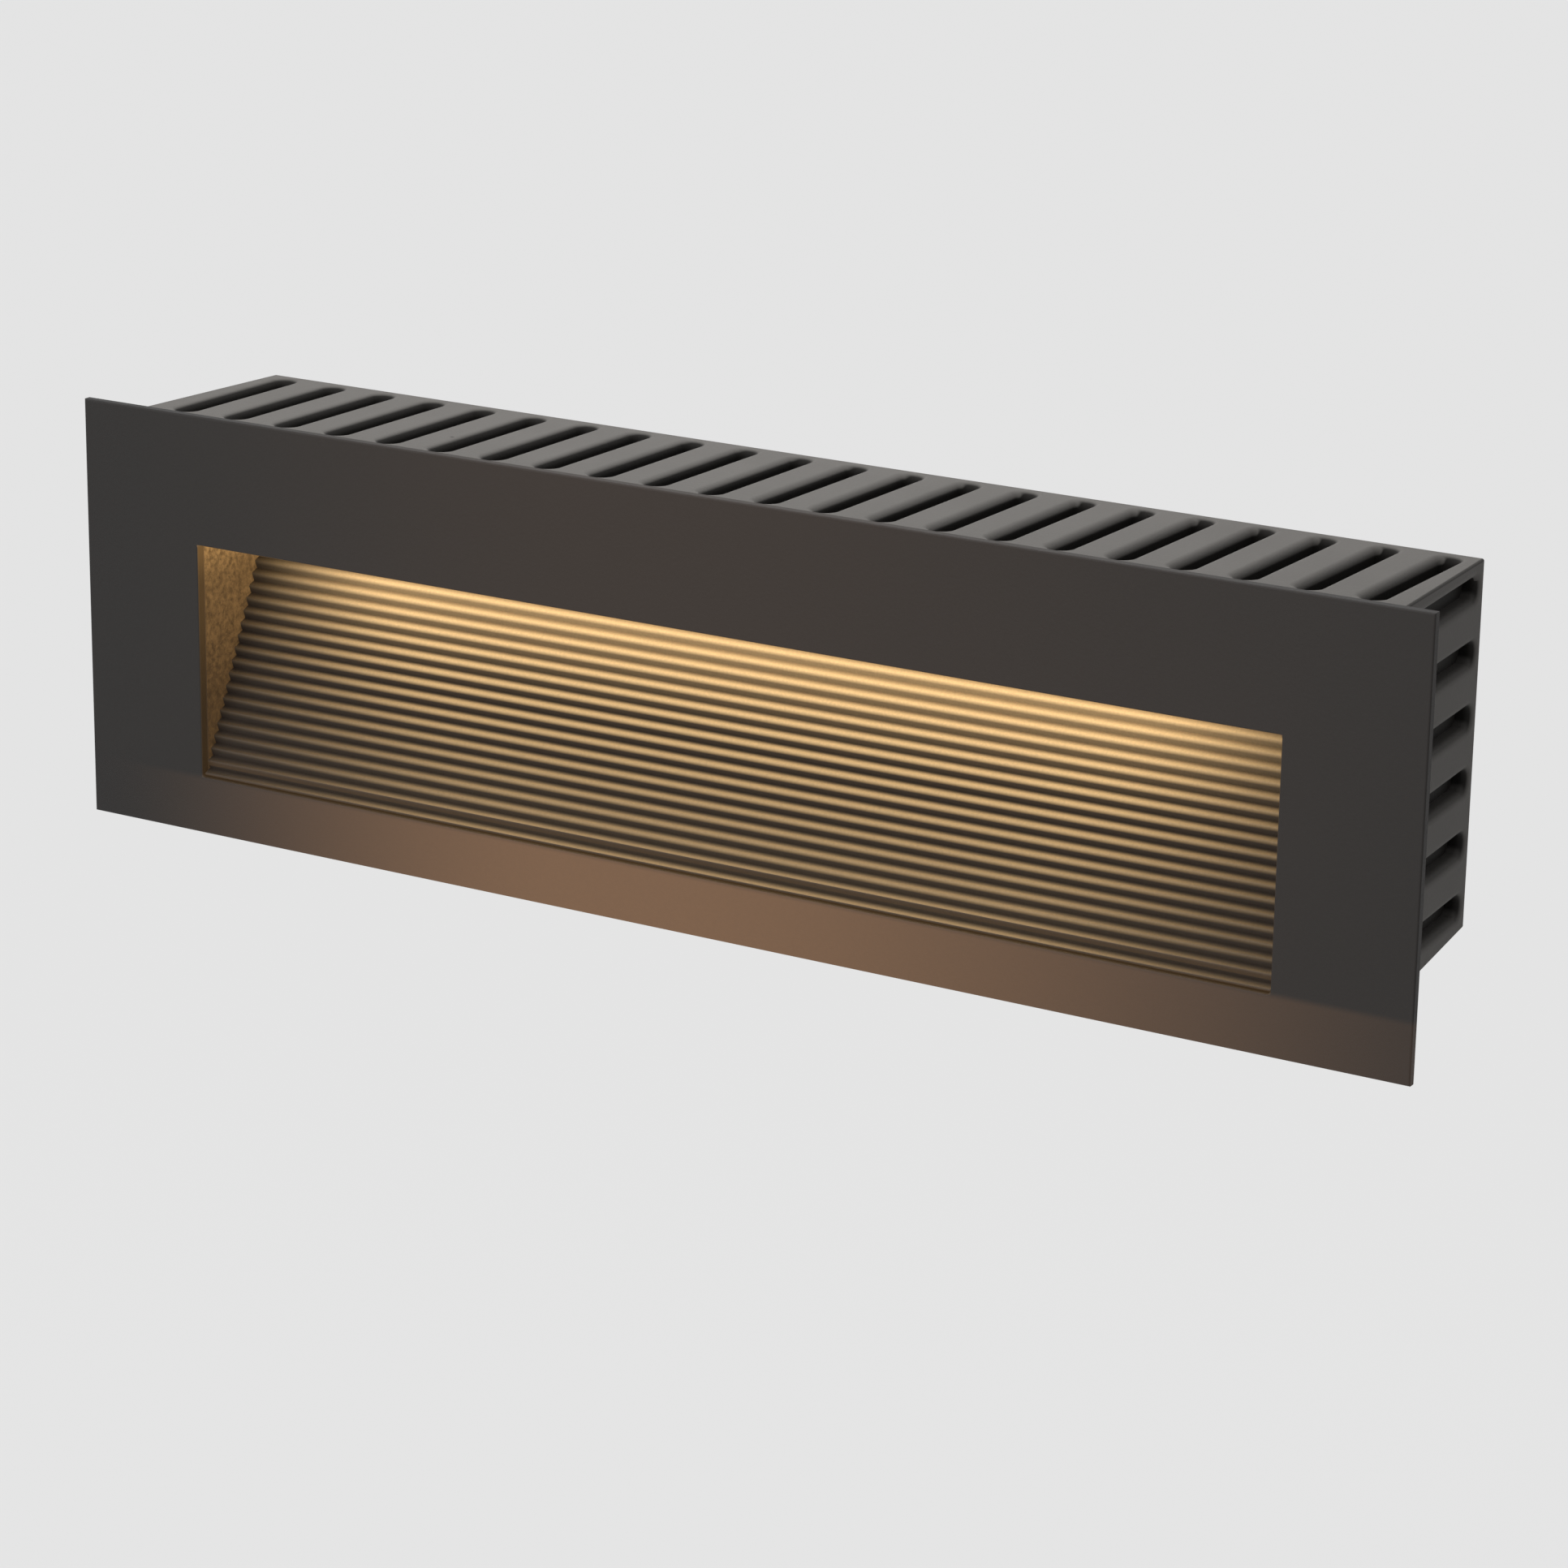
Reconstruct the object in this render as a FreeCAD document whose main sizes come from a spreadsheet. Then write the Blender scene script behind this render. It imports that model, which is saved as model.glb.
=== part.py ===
import FreeCAD, Part

import math
import os

import Sketcher

# Recessed step light with a 255 x 75 mm face, in millimetres.
# X runs to the right as seen from the front, Y into the wall, Z up.
# The origin is the centre of the faceplate's back, in the plane of the wall's surface.

V = FreeCAD.Vector

# Distance under which two computed points count as one.
HAIR = 1e-3

SIZES = [
    # faceplate
    ("plate_width", 255.0, "faceplate, along X"),
    ("plate_height", 75.0, "faceplate, along Z"),
    ("plate_thickness", 3.0, "faceplate, along Y"),
    ("plate_edge", 0.35, "round on the plate's front edges"),
    ("plate_bevel", 1.5, "bevel round the plate's back, which leaves a thin edge"),
    ("plate_beside", 7.5, "faceplate beyond the box's rim, at each end"),
    ("plate_above", 1.7, "faceplate beyond the box's rim, above"),
    ("plate_below", 9.0, "faceplate beyond the box's rim, below"),
    ("window_corner", 0.6, "corner radius of the window"),
    ("window_clearance", 0.2, "window edge to tray, all round"),
    # light recess and its ribbed slope
    ("border_below", 10.5, "faceplate below the recess"),
    ("border_above", 23.1, "faceplate above the recess"),
    ("slope_foot", 0.3, "lower end of the rib crests behind the plate's front"),
    ("slope_margin", 3.0, "upper end of the rib crests behind the light slot"),
    ("slope_wall_start", 1.1, "height at which the slope's wall leaves the flange"),
    ("rib_count", 20, "ribs on the slope"),
    ("rib_rise", 1.15, "height of a rib's sharp profile"),
    ("rib_round", 0.35, "radius of a rib's crest"),
    ("rib_foot", 0.1, "straight flank under the lowest rib's crest"),
    ("tray_wall", 2.0, "wall of the tray"),
    ("flange_thickness", 1.4, "tray flange, sunk into the plate's back"),
    ("flange_side", 10.3, "tray flange beyond the recess, at each end"),
    ("flange_below", 3.7, "tray flange below the recess"),
    ("flange_gap", 2.1, "tray flange inside the box's end walls and its top"),
    ("flange_clearance", 0.2, "flange edge to the plate's rebate"),
    ("light_slot_width", 7.0, "slot that the light comes through, along Y"),
    # light source on the tray's shelf
    ("diffuser_width", 10.0, "frosted strip, along Y"),
    ("diffuser_inset", 4.2, "frosted strip's ends inside the recess's cheeks"),
    ("diffuser_lap", 3.0, "frosted strip beyond the slot, at each end"),
    ("diffuser_thickness", 2.0, "frosted strip"),
    ("seal_thickness", 0.5, "silicone under the frosted strip"),
    ("carrier_wall", 1.4, "aluminium channel over the light strip"),
    ("carrier_height", 5.5, "inside height of the channel"),
    ("carrier_foot", 3.2, "foot of the channel on the shelf"),
    ("carrier_clearance", 0.2, "channel to the frosted strip's rear edge"),
    ("carrier_gap", 0.8, "channel to the weld studs' ends"),
    ("carrier_screw_inset", 6.0, "outermost screws inside the channel's ends"),
    ("carrier_screw_size", 2.0, "screws in the channel's foot"),
    ("carrier_screw_head", 3.2, "heads of those screws"),
    ("carrier_screw_bite", 1.7, "thread of those screws in the tray"),
    ("tape_thickness", 0.3, "thermal tape"),
    ("board_width", 6.8, "circuit board, along Y"),
    ("board_inset", 4.0, "circuit board's ends inside the channel's ends"),
    ("board_thickness", 1.6, "circuit board"),
    ("chip_count", 24, "light-emitting chips"),
    ("chip_inset", 5.3, "outermost chips' centres inside the board's ends"),
    ("chip_length", 3.5, "chip, along X"),
    ("chip_width", 2.8, "chip, along Y"),
    ("chip_height", 0.8, "chip"),
    # back box
    ("gasket_thickness", 1.2, "foam ring behind the plate"),
    ("gasket_width", 1.9, "foam ring's band"),
    ("gasket_inset", 0.6, "foam ring inside the box's outline"),
    ("box_back", 39.0, "depth of the box's back face"),
    ("side_draft", 2.5, "each side wall's lean towards the front"),
    ("base_draft", 3.0, "base wall's lean towards the front"),
    ("top_draft", 0.3, "top wall's lean towards the front"),
    ("box_wall", 4.4, "grooved walls of the box"),
    ("box_back_wall", 2.5, "back wall of the box"),
    ("box_edge", 0.4, "round on the box's outer edges"),
    ("groove_count", 22, "grooves along the top, and along the base"),
    ("side_groove_count", 6, "grooves on each side"),
    ("groove_end", 4.625, "outermost top grooves' centres inside the box's ends"),
    ("side_groove_end", 4.25, "outermost side grooves' centres inside the box's top and base"),
    ("groove_width", 3.4, "groove between its walls"),
    ("groove_depth", 2.7, "depth of a groove"),
    ("groove_mouth", 1.4, "round along a groove's mouth"),
    ("groove_front_land", 4.4, "box rim to the grooves' front ends"),
    ("groove_rear_land", 2.2, "grooves' rear ends to the back face"),
    # fasteners of the tray
    ("stud_size", 3.0, "weld studs and their nuts"),
    ("stud_length", 4.6, "weld stud beyond the rebate"),
    ("hole_clearance", 0.2, "clearance holes round their screws and studs, on a radius"),
    ("washer_size", 6.4, "washers under the nuts"),
    ("washer_thickness", 0.5, "washers under the nuts"),
    ("nut_flats", 5.5, "nuts across flats"),
    ("nut_height", 1.8, "thin nuts"),
    ("side_stud_pitch", 22.0, "two studs at each end"),
    ("side_stud_rise", 5.1, "lower studs above the box's floor at its rim"),
    ("stud_edge", 4.0, "stud centre to the flange's edge"),
    # driver and terminal block
    ("driver_length", 110.0, "driver case, along X"),
    ("driver_height", 24.0, "driver case, along Z"),
    ("driver_wall", 1.5, "driver case and lid"),
    ("driver_rise", 1.6, "driver above the box's floor at its back"),
    ("driver_clearance", 0.71, "driver's upper edge to the slope's rear face"),
    ("driver_room", 4.5, "driver's lid to the box's back wall"),
    ("post_size", 7.0, "tray posts"),
    ("ear_length", 8.0, "driver's fixing ears"),
    ("ear_height", 11.0, "driver's fixing ears"),
    ("ear_thickness", 2.5, "driver's fixing ears"),
    ("screw_size", 3.0, "screws in the posts"),
    ("screw_bite", 4.0, "thread of those screws in the posts"),
    ("screw_head", 5.6, "head of those screws"),
    ("head_height", 2.0, "height of those heads"),
    ("terminal_length", 22.0, "terminal block, along X"),
    ("terminal_height", 17.0, "terminal block, along Z"),
    ("terminal_depth", 14.0, "terminal block, along Y"),
    ("terminal_inset", 6.2, "terminal block inside the tray's left cheek"),
    ("pole_pitch", 5.5, "pole to pole"),
    ("pole_bore", 3.0, "wire openings of the terminal block"),
    ("pole_depth", 6.0, "depth of a wire opening"),
    ("pole_screw", 3.4, "terminal screws"),
    ("earth_room", 17.0, "terminal block to the insert's earth post"),
    ("post_room", 12.0, "insert's earth post to the driver's left post"),
    ("tag_thickness", 0.6, "earth tag"),
    ("tag_barrel", 2.7, "barrel of the earth tag"),
    ("tag_barrel_length", 4.0, "barrel of the earth tag"),
    ("lead_size", 1.5, "inner wires over their insulation"),
    ("lead_spacing", 3.0, "LED wire to LED wire"),
    # grip springs
    ("spring_strip", 0.6, "spring steel"),
    ("spring_width", 10.0, "spring, along Z"),
    ("spring_foot", 7.4, "foot of the spring under its nut, along X"),
    ("spring_seat", 9.5, "flat of the spring on the cheek, along Y"),
    ("spring_peak", 19.0, "depth at which a spring stands out most"),
    ("spring_tail", 28.0, "depth of the springs' rear ends"),
    ("spring_clearance", 0.45, "spring to the box's wall"),
    # cable gland and earth screw of the box
    ("gland_shift", 10.0, "gland to the right of the terminal block's centre"),
    ("gland_rise", 13.0, "gland above the terminal block's top"),
    ("gland_thread", 12.0, "gland's thread"),
    ("gland_thread_end", 1.0, "gland's thread beyond its locknut"),
    ("gland_flats", 15.0, "gland's hexagons across flats"),
    ("gland_flange", 3.0, "hexagon of the gland's body"),
    ("gland_neck", 7.0, "neck inside the cap"),
    ("gland_wall", 1.3, "wall of the gland's neck"),
    ("gland_washer_thickness", 1.2, "washer between gland and box"),
    ("locknut_height", 3.0, "locknut inside the box"),
    ("cap_length", 10.5, "gland's cap"),
    ("cap_wall", 1.2, "end wall of the gland's cap"),
    ("cable_bore", 6.5, "bore of the rubber seal"),
    ("mouth_clearance", 0.45, "cap's mouth round the seal's bore, on a radius"),
    ("running_clearance", 0.15, "thread and seal clearance, on a radius"),
    ("fixing_inset", 32.5, "fixing holes inside the ends of the back wall"),
    ("fixing_hole", 4.5, "fixing holes"),
    ("fixing_drop", 9.5, "fixing holes below the back wall's top"),
    ("earth_shift", 2.45, "box's earth screw beyond the middle from driver to box end"),
    ("earth_boss", 9.0, "boss of the box's earth screw"),
    ("earth_boss_height", 3.0, "boss of the box's earth screw"),
    ("earth_screw_size", 4.0, "box's earth screw"),
    ("earth_head", 7.0, "head of the box's earth screw"),
]

doc = FreeCAD.newDocument("step_light")
sheet = doc.addObject("Spreadsheet::Sheet", "sizes")


def fill_sheet():
    """Writes one row for each driving dimension: what it is, its number and its alias."""
    for row, (alias, number, meaning) in enumerate(SIZES, start=1):
        sheet.set(f"A{row}", meaning)
        sheet.set(f"B{row}", str(number))
        sheet.setAlias(f"B{row}", alias)
    doc.recompute()


fill_sheet()


def size(alias):
    """The number that the sheet holds under this alias."""
    return float(sheet.get(alias))


def text(formula):
    """Turns a formula in plain size names into one that reads the sheet."""
    words = sorted((alias for alias, _, _ in SIZES), key=len, reverse=True)
    out = formula
    for number, word in enumerate(words):
        out = out.replace(word, f"<{number}>")
    for number, word in enumerate(words):
        out = out.replace(f"<{number}>", f"sizes.{word}")
    return out


def value(formula):
    """The number that a formula in size names gives now."""
    result = sheet.evalExpression(text(formula))
    return float(getattr(result, "Value", result))


def bind(item, prop, formula):
    item.setExpression(prop, text(formula))


# Named places that several pieces share, as formulas in size names.
BOX_FRONT = "gasket_thickness"
BOX_DEPTH = "(box_back - gasket_thickness)"
BOX_FRONT_HALF = "(plate_width / 2 - plate_beside)"
BOX_FRONT_TOP = "(plate_height / 2 - plate_above)"
BOX_FRONT_BASE = "(plate_below - plate_height / 2)"
BOX_BACK_HALF = f"({BOX_FRONT_HALF} - side_draft)"
BOX_TOP = f"({BOX_FRONT_TOP} - top_draft)"
BOX_BASE = f"({BOX_FRONT_BASE} + base_draft)"
CAVITY_BACK = "(box_back - box_back_wall)"

RECESS_LOW = "(border_below - plate_height / 2)"
RECESS_HIGH = "(plate_height / 2 - border_above)"
FLANGE_HALF = f"({BOX_FRONT_HALF} - box_wall - flange_gap)"
FLANGE_TOP = f"({BOX_FRONT_TOP} - box_wall - flange_gap)"
FLANGE_BASE = f"({RECESS_LOW} - flange_below)"
RECESS_HALF = f"({FLANGE_HALF} - flange_side)"
CHEEK_OUTSIDE = f"({RECESS_HALF} + tray_wall)"
SHELF_TOP = f"({RECESS_HIGH} + tray_wall)"

STUD_HOLE = "(stud_size + 2 * hole_clearance)"
STUD_SIDE = f"({FLANGE_HALF} - stud_edge)"
STUD_TOP = f"({FLANGE_TOP} - stud_edge)"
LOWER_STUD_LEVEL = f"({BOX_FRONT_BASE} + box_wall + side_stud_rise)"
SPRING_LEVEL = f"({LOWER_STUD_LEVEL} + side_stud_pitch)"

DIFFUSER_HALF = f"({RECESS_HALF} - diffuser_inset)"
DIFFUSER_BASE = f"({SHELF_TOP} + seal_thickness)"
DIFFUSER_TOP = f"({DIFFUSER_BASE} + diffuser_thickness)"
SLOT_HALF = f"({DIFFUSER_HALF} - diffuser_lap)"
CEILING = f"({DIFFUSER_TOP} + carrier_height)"
CARRIER_FRONT = "(stud_length - flange_thickness + carrier_gap)"
CARRIER_REAR = f"({CARRIER_FRONT} + diffuser_width + carrier_clearance + carrier_wall)"
CARRIER_SCREW_DEPTH = f"({CARRIER_REAR} + carrier_foot / 2)"
SLOT_DEPTH = f"({CARRIER_FRONT} + diffuser_width / 2)"
BOARD_MIDDLE = SLOT_DEPTH
BOARD_HALF = f"({DIFFUSER_HALF} - board_inset)"
BOARD_TOP = f"({CEILING} - tape_thickness)"
CHIP_PITCH = f"(2 * ({BOARD_HALF} - chip_inset) / (chip_count - 1))"

SLOPE_HEAD = f"({SLOT_DEPTH} + light_slot_width / 2 + slope_margin)"
SLOPE_RUN = f"({SLOPE_HEAD} + plate_thickness - slope_foot)"
SLOPE_RISE = f"({RECESS_HIGH} - {RECESS_LOW})"
SLOPE_WALL = f"((rib_rise + tray_wall) * sqrt({SLOPE_RUN} ^ 2 + {SLOPE_RISE} ^ 2) / {SLOPE_RISE})"
SLOPE_WALL_START = f"({RECESS_LOW} + slope_wall_start)"

SCREW_HOLE = "(screw_size + 2 * hole_clearance)"
TERMINAL_LEFT = f"(terminal_inset - {CHEEK_OUTSIDE})"
TERMINAL_CENTRE = f"({TERMINAL_LEFT} + terminal_length / 2)"
EARTH_POST = f"({TERMINAL_LEFT} + terminal_length + earth_room)"
DRIVER_LEFT = f"({EARTH_POST} + post_room + ear_length / 2)"
DRIVER_RIGHT = f"({DRIVER_LEFT} + driver_length)"
DRIVER_LEVEL = f"({BOX_BASE} + box_wall + driver_rise + driver_height / 2)"


def slope_back(level):
    """Depth of the slope wall's rear face at a height, as a formula: 0 where the wall starts."""
    share = f"({level} - {SLOPE_WALL_START}) / ({RECESS_HIGH} - {SLOPE_WALL_START})"
    return f"({SLOPE_HEAD} + {SLOPE_WALL}) * {share}"


POST_END = f"({slope_back(f'({DRIVER_LEVEL} + driver_height / 2)')} + driver_clearance)"
DRIVER_BACK = f"({CAVITY_BACK} - driver_room)"
DRIVER_DEPTH = f"({DRIVER_BACK} - {POST_END})"

GLAND_PLACE = f"({TERMINAL_CENTRE} + gland_shift)"
GLAND_LEVEL = f"({DRIVER_LEVEL} + terminal_height / 2 + gland_rise)"
GLAND_HOLE = "(gland_thread + 2 * hole_clearance)"
FIXING_PLACE = f"({BOX_BACK_HALF} - fixing_inset)"
EARTH_PLACE = f"(({DRIVER_RIGHT} + {BOX_BACK_HALF} - box_wall) / 2 + earth_shift)"


def slope_ends():
    """The lower and upper ends of the line through the rib crests, as depth and height."""
    foot = V(size("slope_foot") - size("plate_thickness"), value(RECESS_LOW), 0)
    head = V(value(SLOPE_HEAD), value(RECESS_HIGH), 0)
    return foot, head


# Helpers for bodies and sketches

def new_body(name):
    return doc.addObject("PartDesign::Body", name)


def origin_plane(body, role):
    return next(item for item in body.Origin.OriginFeatures if item.Role == role)


def new_sketch(body, name, role, away="0"):
    """A sketch on one of the body's own planes, moved by a formula along its normal."""
    sketch = body.newObject("Sketcher::SketchObject", name)
    sketch.AttachmentSupport = (origin_plane(body, role), [""])
    sketch.MapMode = "FlatFace"
    bind(sketch, "AttachmentOffset.Base.z", away)
    return sketch


def hold(sketch, kind, element, point, formula):
    """Ties a point's X or Y place in the sketch to a formula."""
    number = sketch.addConstraint(Sketcher.Constraint(kind, -1, 1, element, point, value(formula)))
    bind(sketch, f"Constraints[{number}]", formula)


def outline(sketch, points):
    """A closed chain of straight lines through computed points."""
    for start, end in zip(points, points[1:] + points[:1]):
        sketch.addGeometry(Part.LineSegment(V(*start, 0), V(*end, 0)))


def rectangle(sketch, left, low, right, high):
    """A rectangle whose four sides stand at the given formulas."""
    places = [(left, low), (right, low), (right, high), (left, high)]
    corners = [V(value(u), value(v), 0) for u, v in places]
    sides = [
        sketch.addGeometry(Part.LineSegment(corners[i], corners[(i + 1) % 4]))
        for i in range(4)
    ]
    for i in range(4):
        sketch.addConstraint(Sketcher.Constraint("Coincident", sides[i], 2, sides[(i + 1) % 4], 1))
        sketch.addConstraint(Sketcher.Constraint("Vertical" if i % 2 else "Horizontal", sides[i]))
    hold(sketch, "DistanceX", sides[0], 1, left)
    hold(sketch, "DistanceY", sides[0], 1, low)
    hold(sketch, "DistanceX", sides[2], 1, right)
    hold(sketch, "DistanceY", sides[2], 1, high)


def circle(sketch, across, up, diameter):
    """A circle with its centre and diameter at the given formulas."""
    centre = V(value(across), value(up), 0)
    ring = sketch.addGeometry(Part.Circle(centre, V(0, 0, 1), value(diameter) / 2))
    number = sketch.addConstraint(Sketcher.Constraint("Diameter", ring, value(diameter)))
    bind(sketch, f"Constraints[{number}]", diameter)
    hold(sketch, "DistanceX", ring, 3, across)
    hold(sketch, "DistanceY", ring, 3, up)


def pad(body, sketch, length, backwards=False, both=False):
    feature = body.newObject("PartDesign::Pad", sketch.Name + "_pad")
    feature.Profile = sketch
    feature.SideType = "Symmetric" if both else "One side"
    feature.Reversed = backwards
    bind(feature, "Length", length)
    return feature


def pocket(body, sketch, length, backwards=False, both=False):
    feature = body.newObject("PartDesign::Pocket", sketch.Name + "_pocket")
    feature.Profile = sketch
    feature.SideType = "Symmetric" if both else "One side"
    feature.Reversed = backwards
    bind(feature, "Length", length)
    return feature


def dress_edges(body, kind, measure, name, wanted, formula):
    """Dresses those edges of the body's last feature for which wanted(edge) is true."""
    doc.recompute()
    base = body.Tip
    names = [f"Edge{i}" for i, edge in enumerate(base.Shape.Edges, start=1) if wanted(edge)]
    feature = body.newObject(f"PartDesign::{kind}", name)
    feature.Base = (base, names)
    bind(feature, measure, formula)
    doc.recompute()


def round_edges(body, name, wanted, radius):
    dress_edges(body, "Fillet", "Radius", name, wanted, radius)


def bevel_edges(body, name, wanted, depth):
    dress_edges(body, "Chamfer", "Size", name, wanted, depth)


def edge_middle(edge):
    return edge.valueAt((edge.FirstParameter + edge.LastParameter) / 2)


def edge_lies(edge, axis, place):
    """True if both ends of an edge and its middle stand at one place along an axis."""
    points = [vertex.Point for vertex in edge.Vertexes] + [edge_middle(edge)]
    return all(abs(getattr(point, axis) - place) < HAIR for point in points)


def near_box(box, point):
    """True if a point lies in a box that is grown by a hair on every side."""
    return (
        box.XMin - HAIR < point.x < box.XMax + HAIR
        and box.YMin - HAIR < point.y < box.YMax + HAIR
        and box.ZMin - HAIR < point.z < box.ZMax + HAIR
    )


def runs_along(edge, axis):
    """True if a straight edge is parallel to an axis."""
    ends = [vertex.Point for vertex in edge.Vertexes]
    if len(ends) < 2:
        return False
    step = (ends[1] - ends[0]).normalize()
    return 1.0 - abs(getattr(step, axis)) < HAIR ** 2


# Helpers for primitives and booleans

def place(item, across, deep, up):
    bind(item, "Placement.Base.x", across)
    bind(item, "Placement.Base.y", deep)
    bind(item, "Placement.Base.z", up)


def block(name, left, front, low, length, depth, height):
    item = doc.addObject("Part::Box", name)
    bind(item, "Length", length)
    bind(item, "Width", depth)
    bind(item, "Height", height)
    place(item, left, front, low)
    return item


TURNS = {
    "x": FreeCAD.Rotation(V(0, 1, 0), 90),
    "y": FreeCAD.Rotation(V(1, 0, 0), -90),
    "z": FreeCAD.Rotation(),
}


def rod(name, axis, across, deep, up, diameter, length):
    item = doc.addObject("Part::Cylinder", name)
    item.Placement.Rotation = TURNS[axis]
    bind(item, "Radius", f"({diameter}) / 2")
    bind(item, "Height", length)
    place(item, across, deep, up)
    return item


def hexagon(name, axis, across, deep, up, flats, length):
    item = doc.addObject("Part::Prism", name)
    item.Polygon = 6
    item.Placement.Rotation = TURNS[axis]
    bind(item, "Circumradius", f"({flats}) / 2 / cos(30)")
    bind(item, "Height", length)
    place(item, across, deep, up)
    return item


def joined(name, parts):
    item = doc.addObject("Part::MultiFuse", name)
    item.Shapes = parts
    return item


def cut(name, base, *tools):
    item = doc.addObject("Part::Cut", name)
    item.Base = base
    item.Tool = tools[0] if len(tools) == 1 else joined(name + "_tools", list(tools))
    return item


def group(name, parts):
    """Identical loose pieces that share one node."""
    item = doc.addObject("Part::Compound", name)
    item.Links = parts
    return item


def socket_screw(name, axis, seat, thread, length, head, high, points_back):
    """A screw with a hexagon socket, from the middle of the face that its head stands on.

    The shank follows the axis, or runs the other way where points_back is true.
    """
    way, back = ("-", "+") if points_back else ("+", "-")

    def at(sign, away):
        spot = dict(zip("xyz", seat))
        spot[axis] = f"{spot[axis]} {sign} ({away})"
        return spot["x"], spot["y"], spot["z"]

    key_depth = f"({high}) * 0.6"
    head_at = at(back, "0") if points_back else at(back, high)
    shank_at = at(way, length) if points_back else at(way, "0")
    key_at = at(back, f"({high}) - {key_depth}") if points_back else at(back, high)
    top = rod(name + "_head", axis, *head_at, head, high)
    shank = rod(name + "_shank", axis, *shank_at, thread, length)
    key = hexagon(name + "_key", axis, *key_at, f"({head}) * 0.4", key_depth)
    return cut(name, joined(name + "_blank", [top, shank]), key)


def wire_tube(name, points, bend):
    """A round wire along straight runs that are joined by tangent arcs of one radius."""
    edges = []
    start = points[0]
    for before, corner, after in zip(points, points[1:], points[2:]):
        back = (before - corner).normalize()
        ahead = (after - corner).normalize()
        half_turn = (math.pi - back.getAngle(ahead)) / 2
        trim = bend * math.tan(half_turn)
        middle = corner + (back + ahead).normalize() * (bend / math.cos(half_turn) - bend)
        first, last = corner + back * trim, corner + ahead * trim
        edges.append(Part.LineSegment(start, first).toShape())
        edges.append(Part.Arc(first, middle, last).toShape())
        start = last
    edges.append(Part.LineSegment(start, points[-1]).toShape())
    path = Part.Wire(edges)
    ring = Part.Circle(points[0], points[1] - points[0], size("lead_size") / 2)
    tube = path.makePipeShell([Part.Wire(ring.toShape())], True, False)
    item = doc.addObject("Part::Feature", name)
    item.Shape = tube
    return item


# Faceplate and foam ring

def make_faceplate():
    """Flat plate with the window, a thin edge, and a rebate in its back for the tray's flange."""
    body = new_body("faceplate")
    sheet_outline = new_sketch(body, "plate_outline", "XZ_Plane")
    rectangle(sheet_outline, "-plate_width / 2", "-plate_height / 2", "plate_width / 2", "plate_height / 2")
    pad(body, sheet_outline, "plate_thickness")

    window = new_sketch(body, "plate_window", "XZ_Plane")
    rectangle(
        window,
        f"-({RECESS_HALF} + window_clearance)",
        f"{RECESS_LOW} - window_clearance",
        f"{RECESS_HALF} + window_clearance",
        f"{RECESS_HIGH} + window_clearance",
    )
    pocket(body, window, "plate_thickness", backwards=True)
    doc.recompute()
    window_half = value(f"{RECESS_HALF} + window_clearance")

    def window_upright(edge):
        return runs_along(edge, "y") and abs(abs(edge.Vertexes[0].X) - window_half) < HAIR

    round_edges(body, "window_corners", window_upright, "window_corner")

    rebate = new_sketch(body, "plate_rebate", "XZ_Plane")
    rectangle(
        rebate,
        f"-({FLANGE_HALF} + flange_clearance)",
        f"{FLANGE_BASE} - flange_clearance",
        f"{FLANGE_HALF} + flange_clearance",
        f"{FLANGE_TOP} + flange_clearance",
    )
    pocket(body, rebate, "flange_thickness", backwards=True)

    def outer_back(edge):
        middle = edge_middle(edge)
        at_end = abs(abs(middle.x) - size("plate_width") / 2) < HAIR
        at_top_or_base = abs(abs(middle.z) - size("plate_height") / 2) < HAIR
        return edge_lies(edge, "y", 0.0) and (at_end or at_top_or_base)

    bevel_edges(body, "plate_back_bevel", outer_back, "plate_bevel")
    front = -size("plate_thickness")
    round_edges(body, "plate_front_edges", lambda edge: edge_lies(edge, "y", front), "plate_edge")
    return body


def make_face_gasket():
    """Foam ring between the back of the plate and the rim of the box."""
    body = new_body("face_gasket")
    sketch = new_sketch(body, "gasket_ring", "XZ_Plane")
    outside = [
        f"-({BOX_FRONT_HALF} - gasket_inset)",
        f"{BOX_FRONT_BASE} + gasket_inset",
        f"{BOX_FRONT_HALF} - gasket_inset",
        f"{BOX_FRONT_TOP} - gasket_inset",
    ]
    rectangle(sketch, *outside)
    inside = [
        f"{outside[0]} + gasket_width",
        f"{outside[1]} + gasket_width",
        f"{outside[2]} - gasket_width",
        f"{outside[3]} - gasket_width",
    ]
    rectangle(sketch, *inside)
    pad(body, sketch, "gasket_thickness", backwards=True)
    return body


# Ribbed tray

def rib_profile():
    """Sketch geometry of the slope's front face: ribs with rounded crests, from foot to head.

    The lowest rib's flank ends at the recess's lower edge, just under the round of its crest.
    """
    count = int(size("rib_count"))
    foot, head = slope_ends()
    along = (head - foot).normalize()
    inward = V(along.y, -along.x, 0)
    pitch = (head - foot).Length / count
    rise, crest = size("rib_rise"), size("rib_round")
    flank = math.atan2(rise, pitch / 2)
    reach = crest * math.tan(flank)
    lift = crest * (1 / math.cos(flank) - 1)
    down_flank = (inward * rise - along * (pitch / 2)).normalize()
    first = (reach + size("rib_foot")) * -down_flank.y / along.y
    geometry = []
    for number in range(count):
        apex = foot + along * (first + pitch * number)
        valley = apex - along * (pitch / 2) + inward * rise
        after = apex + along * (pitch / 2) + inward * rise
        if number == 0:
            valley = valley + (apex - valley) * ((foot.y - valley.y) / (apex.y - valley.y))
        lower = apex + (valley - apex).normalize() * reach
        upper = apex + (after - apex).normalize() * reach
        geometry.append(Part.LineSegment(valley, lower))
        geometry.append(Part.Arc(lower, apex + inward * lift, upper))
        geometry.append(Part.LineSegment(upper, after))
    return geometry


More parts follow.
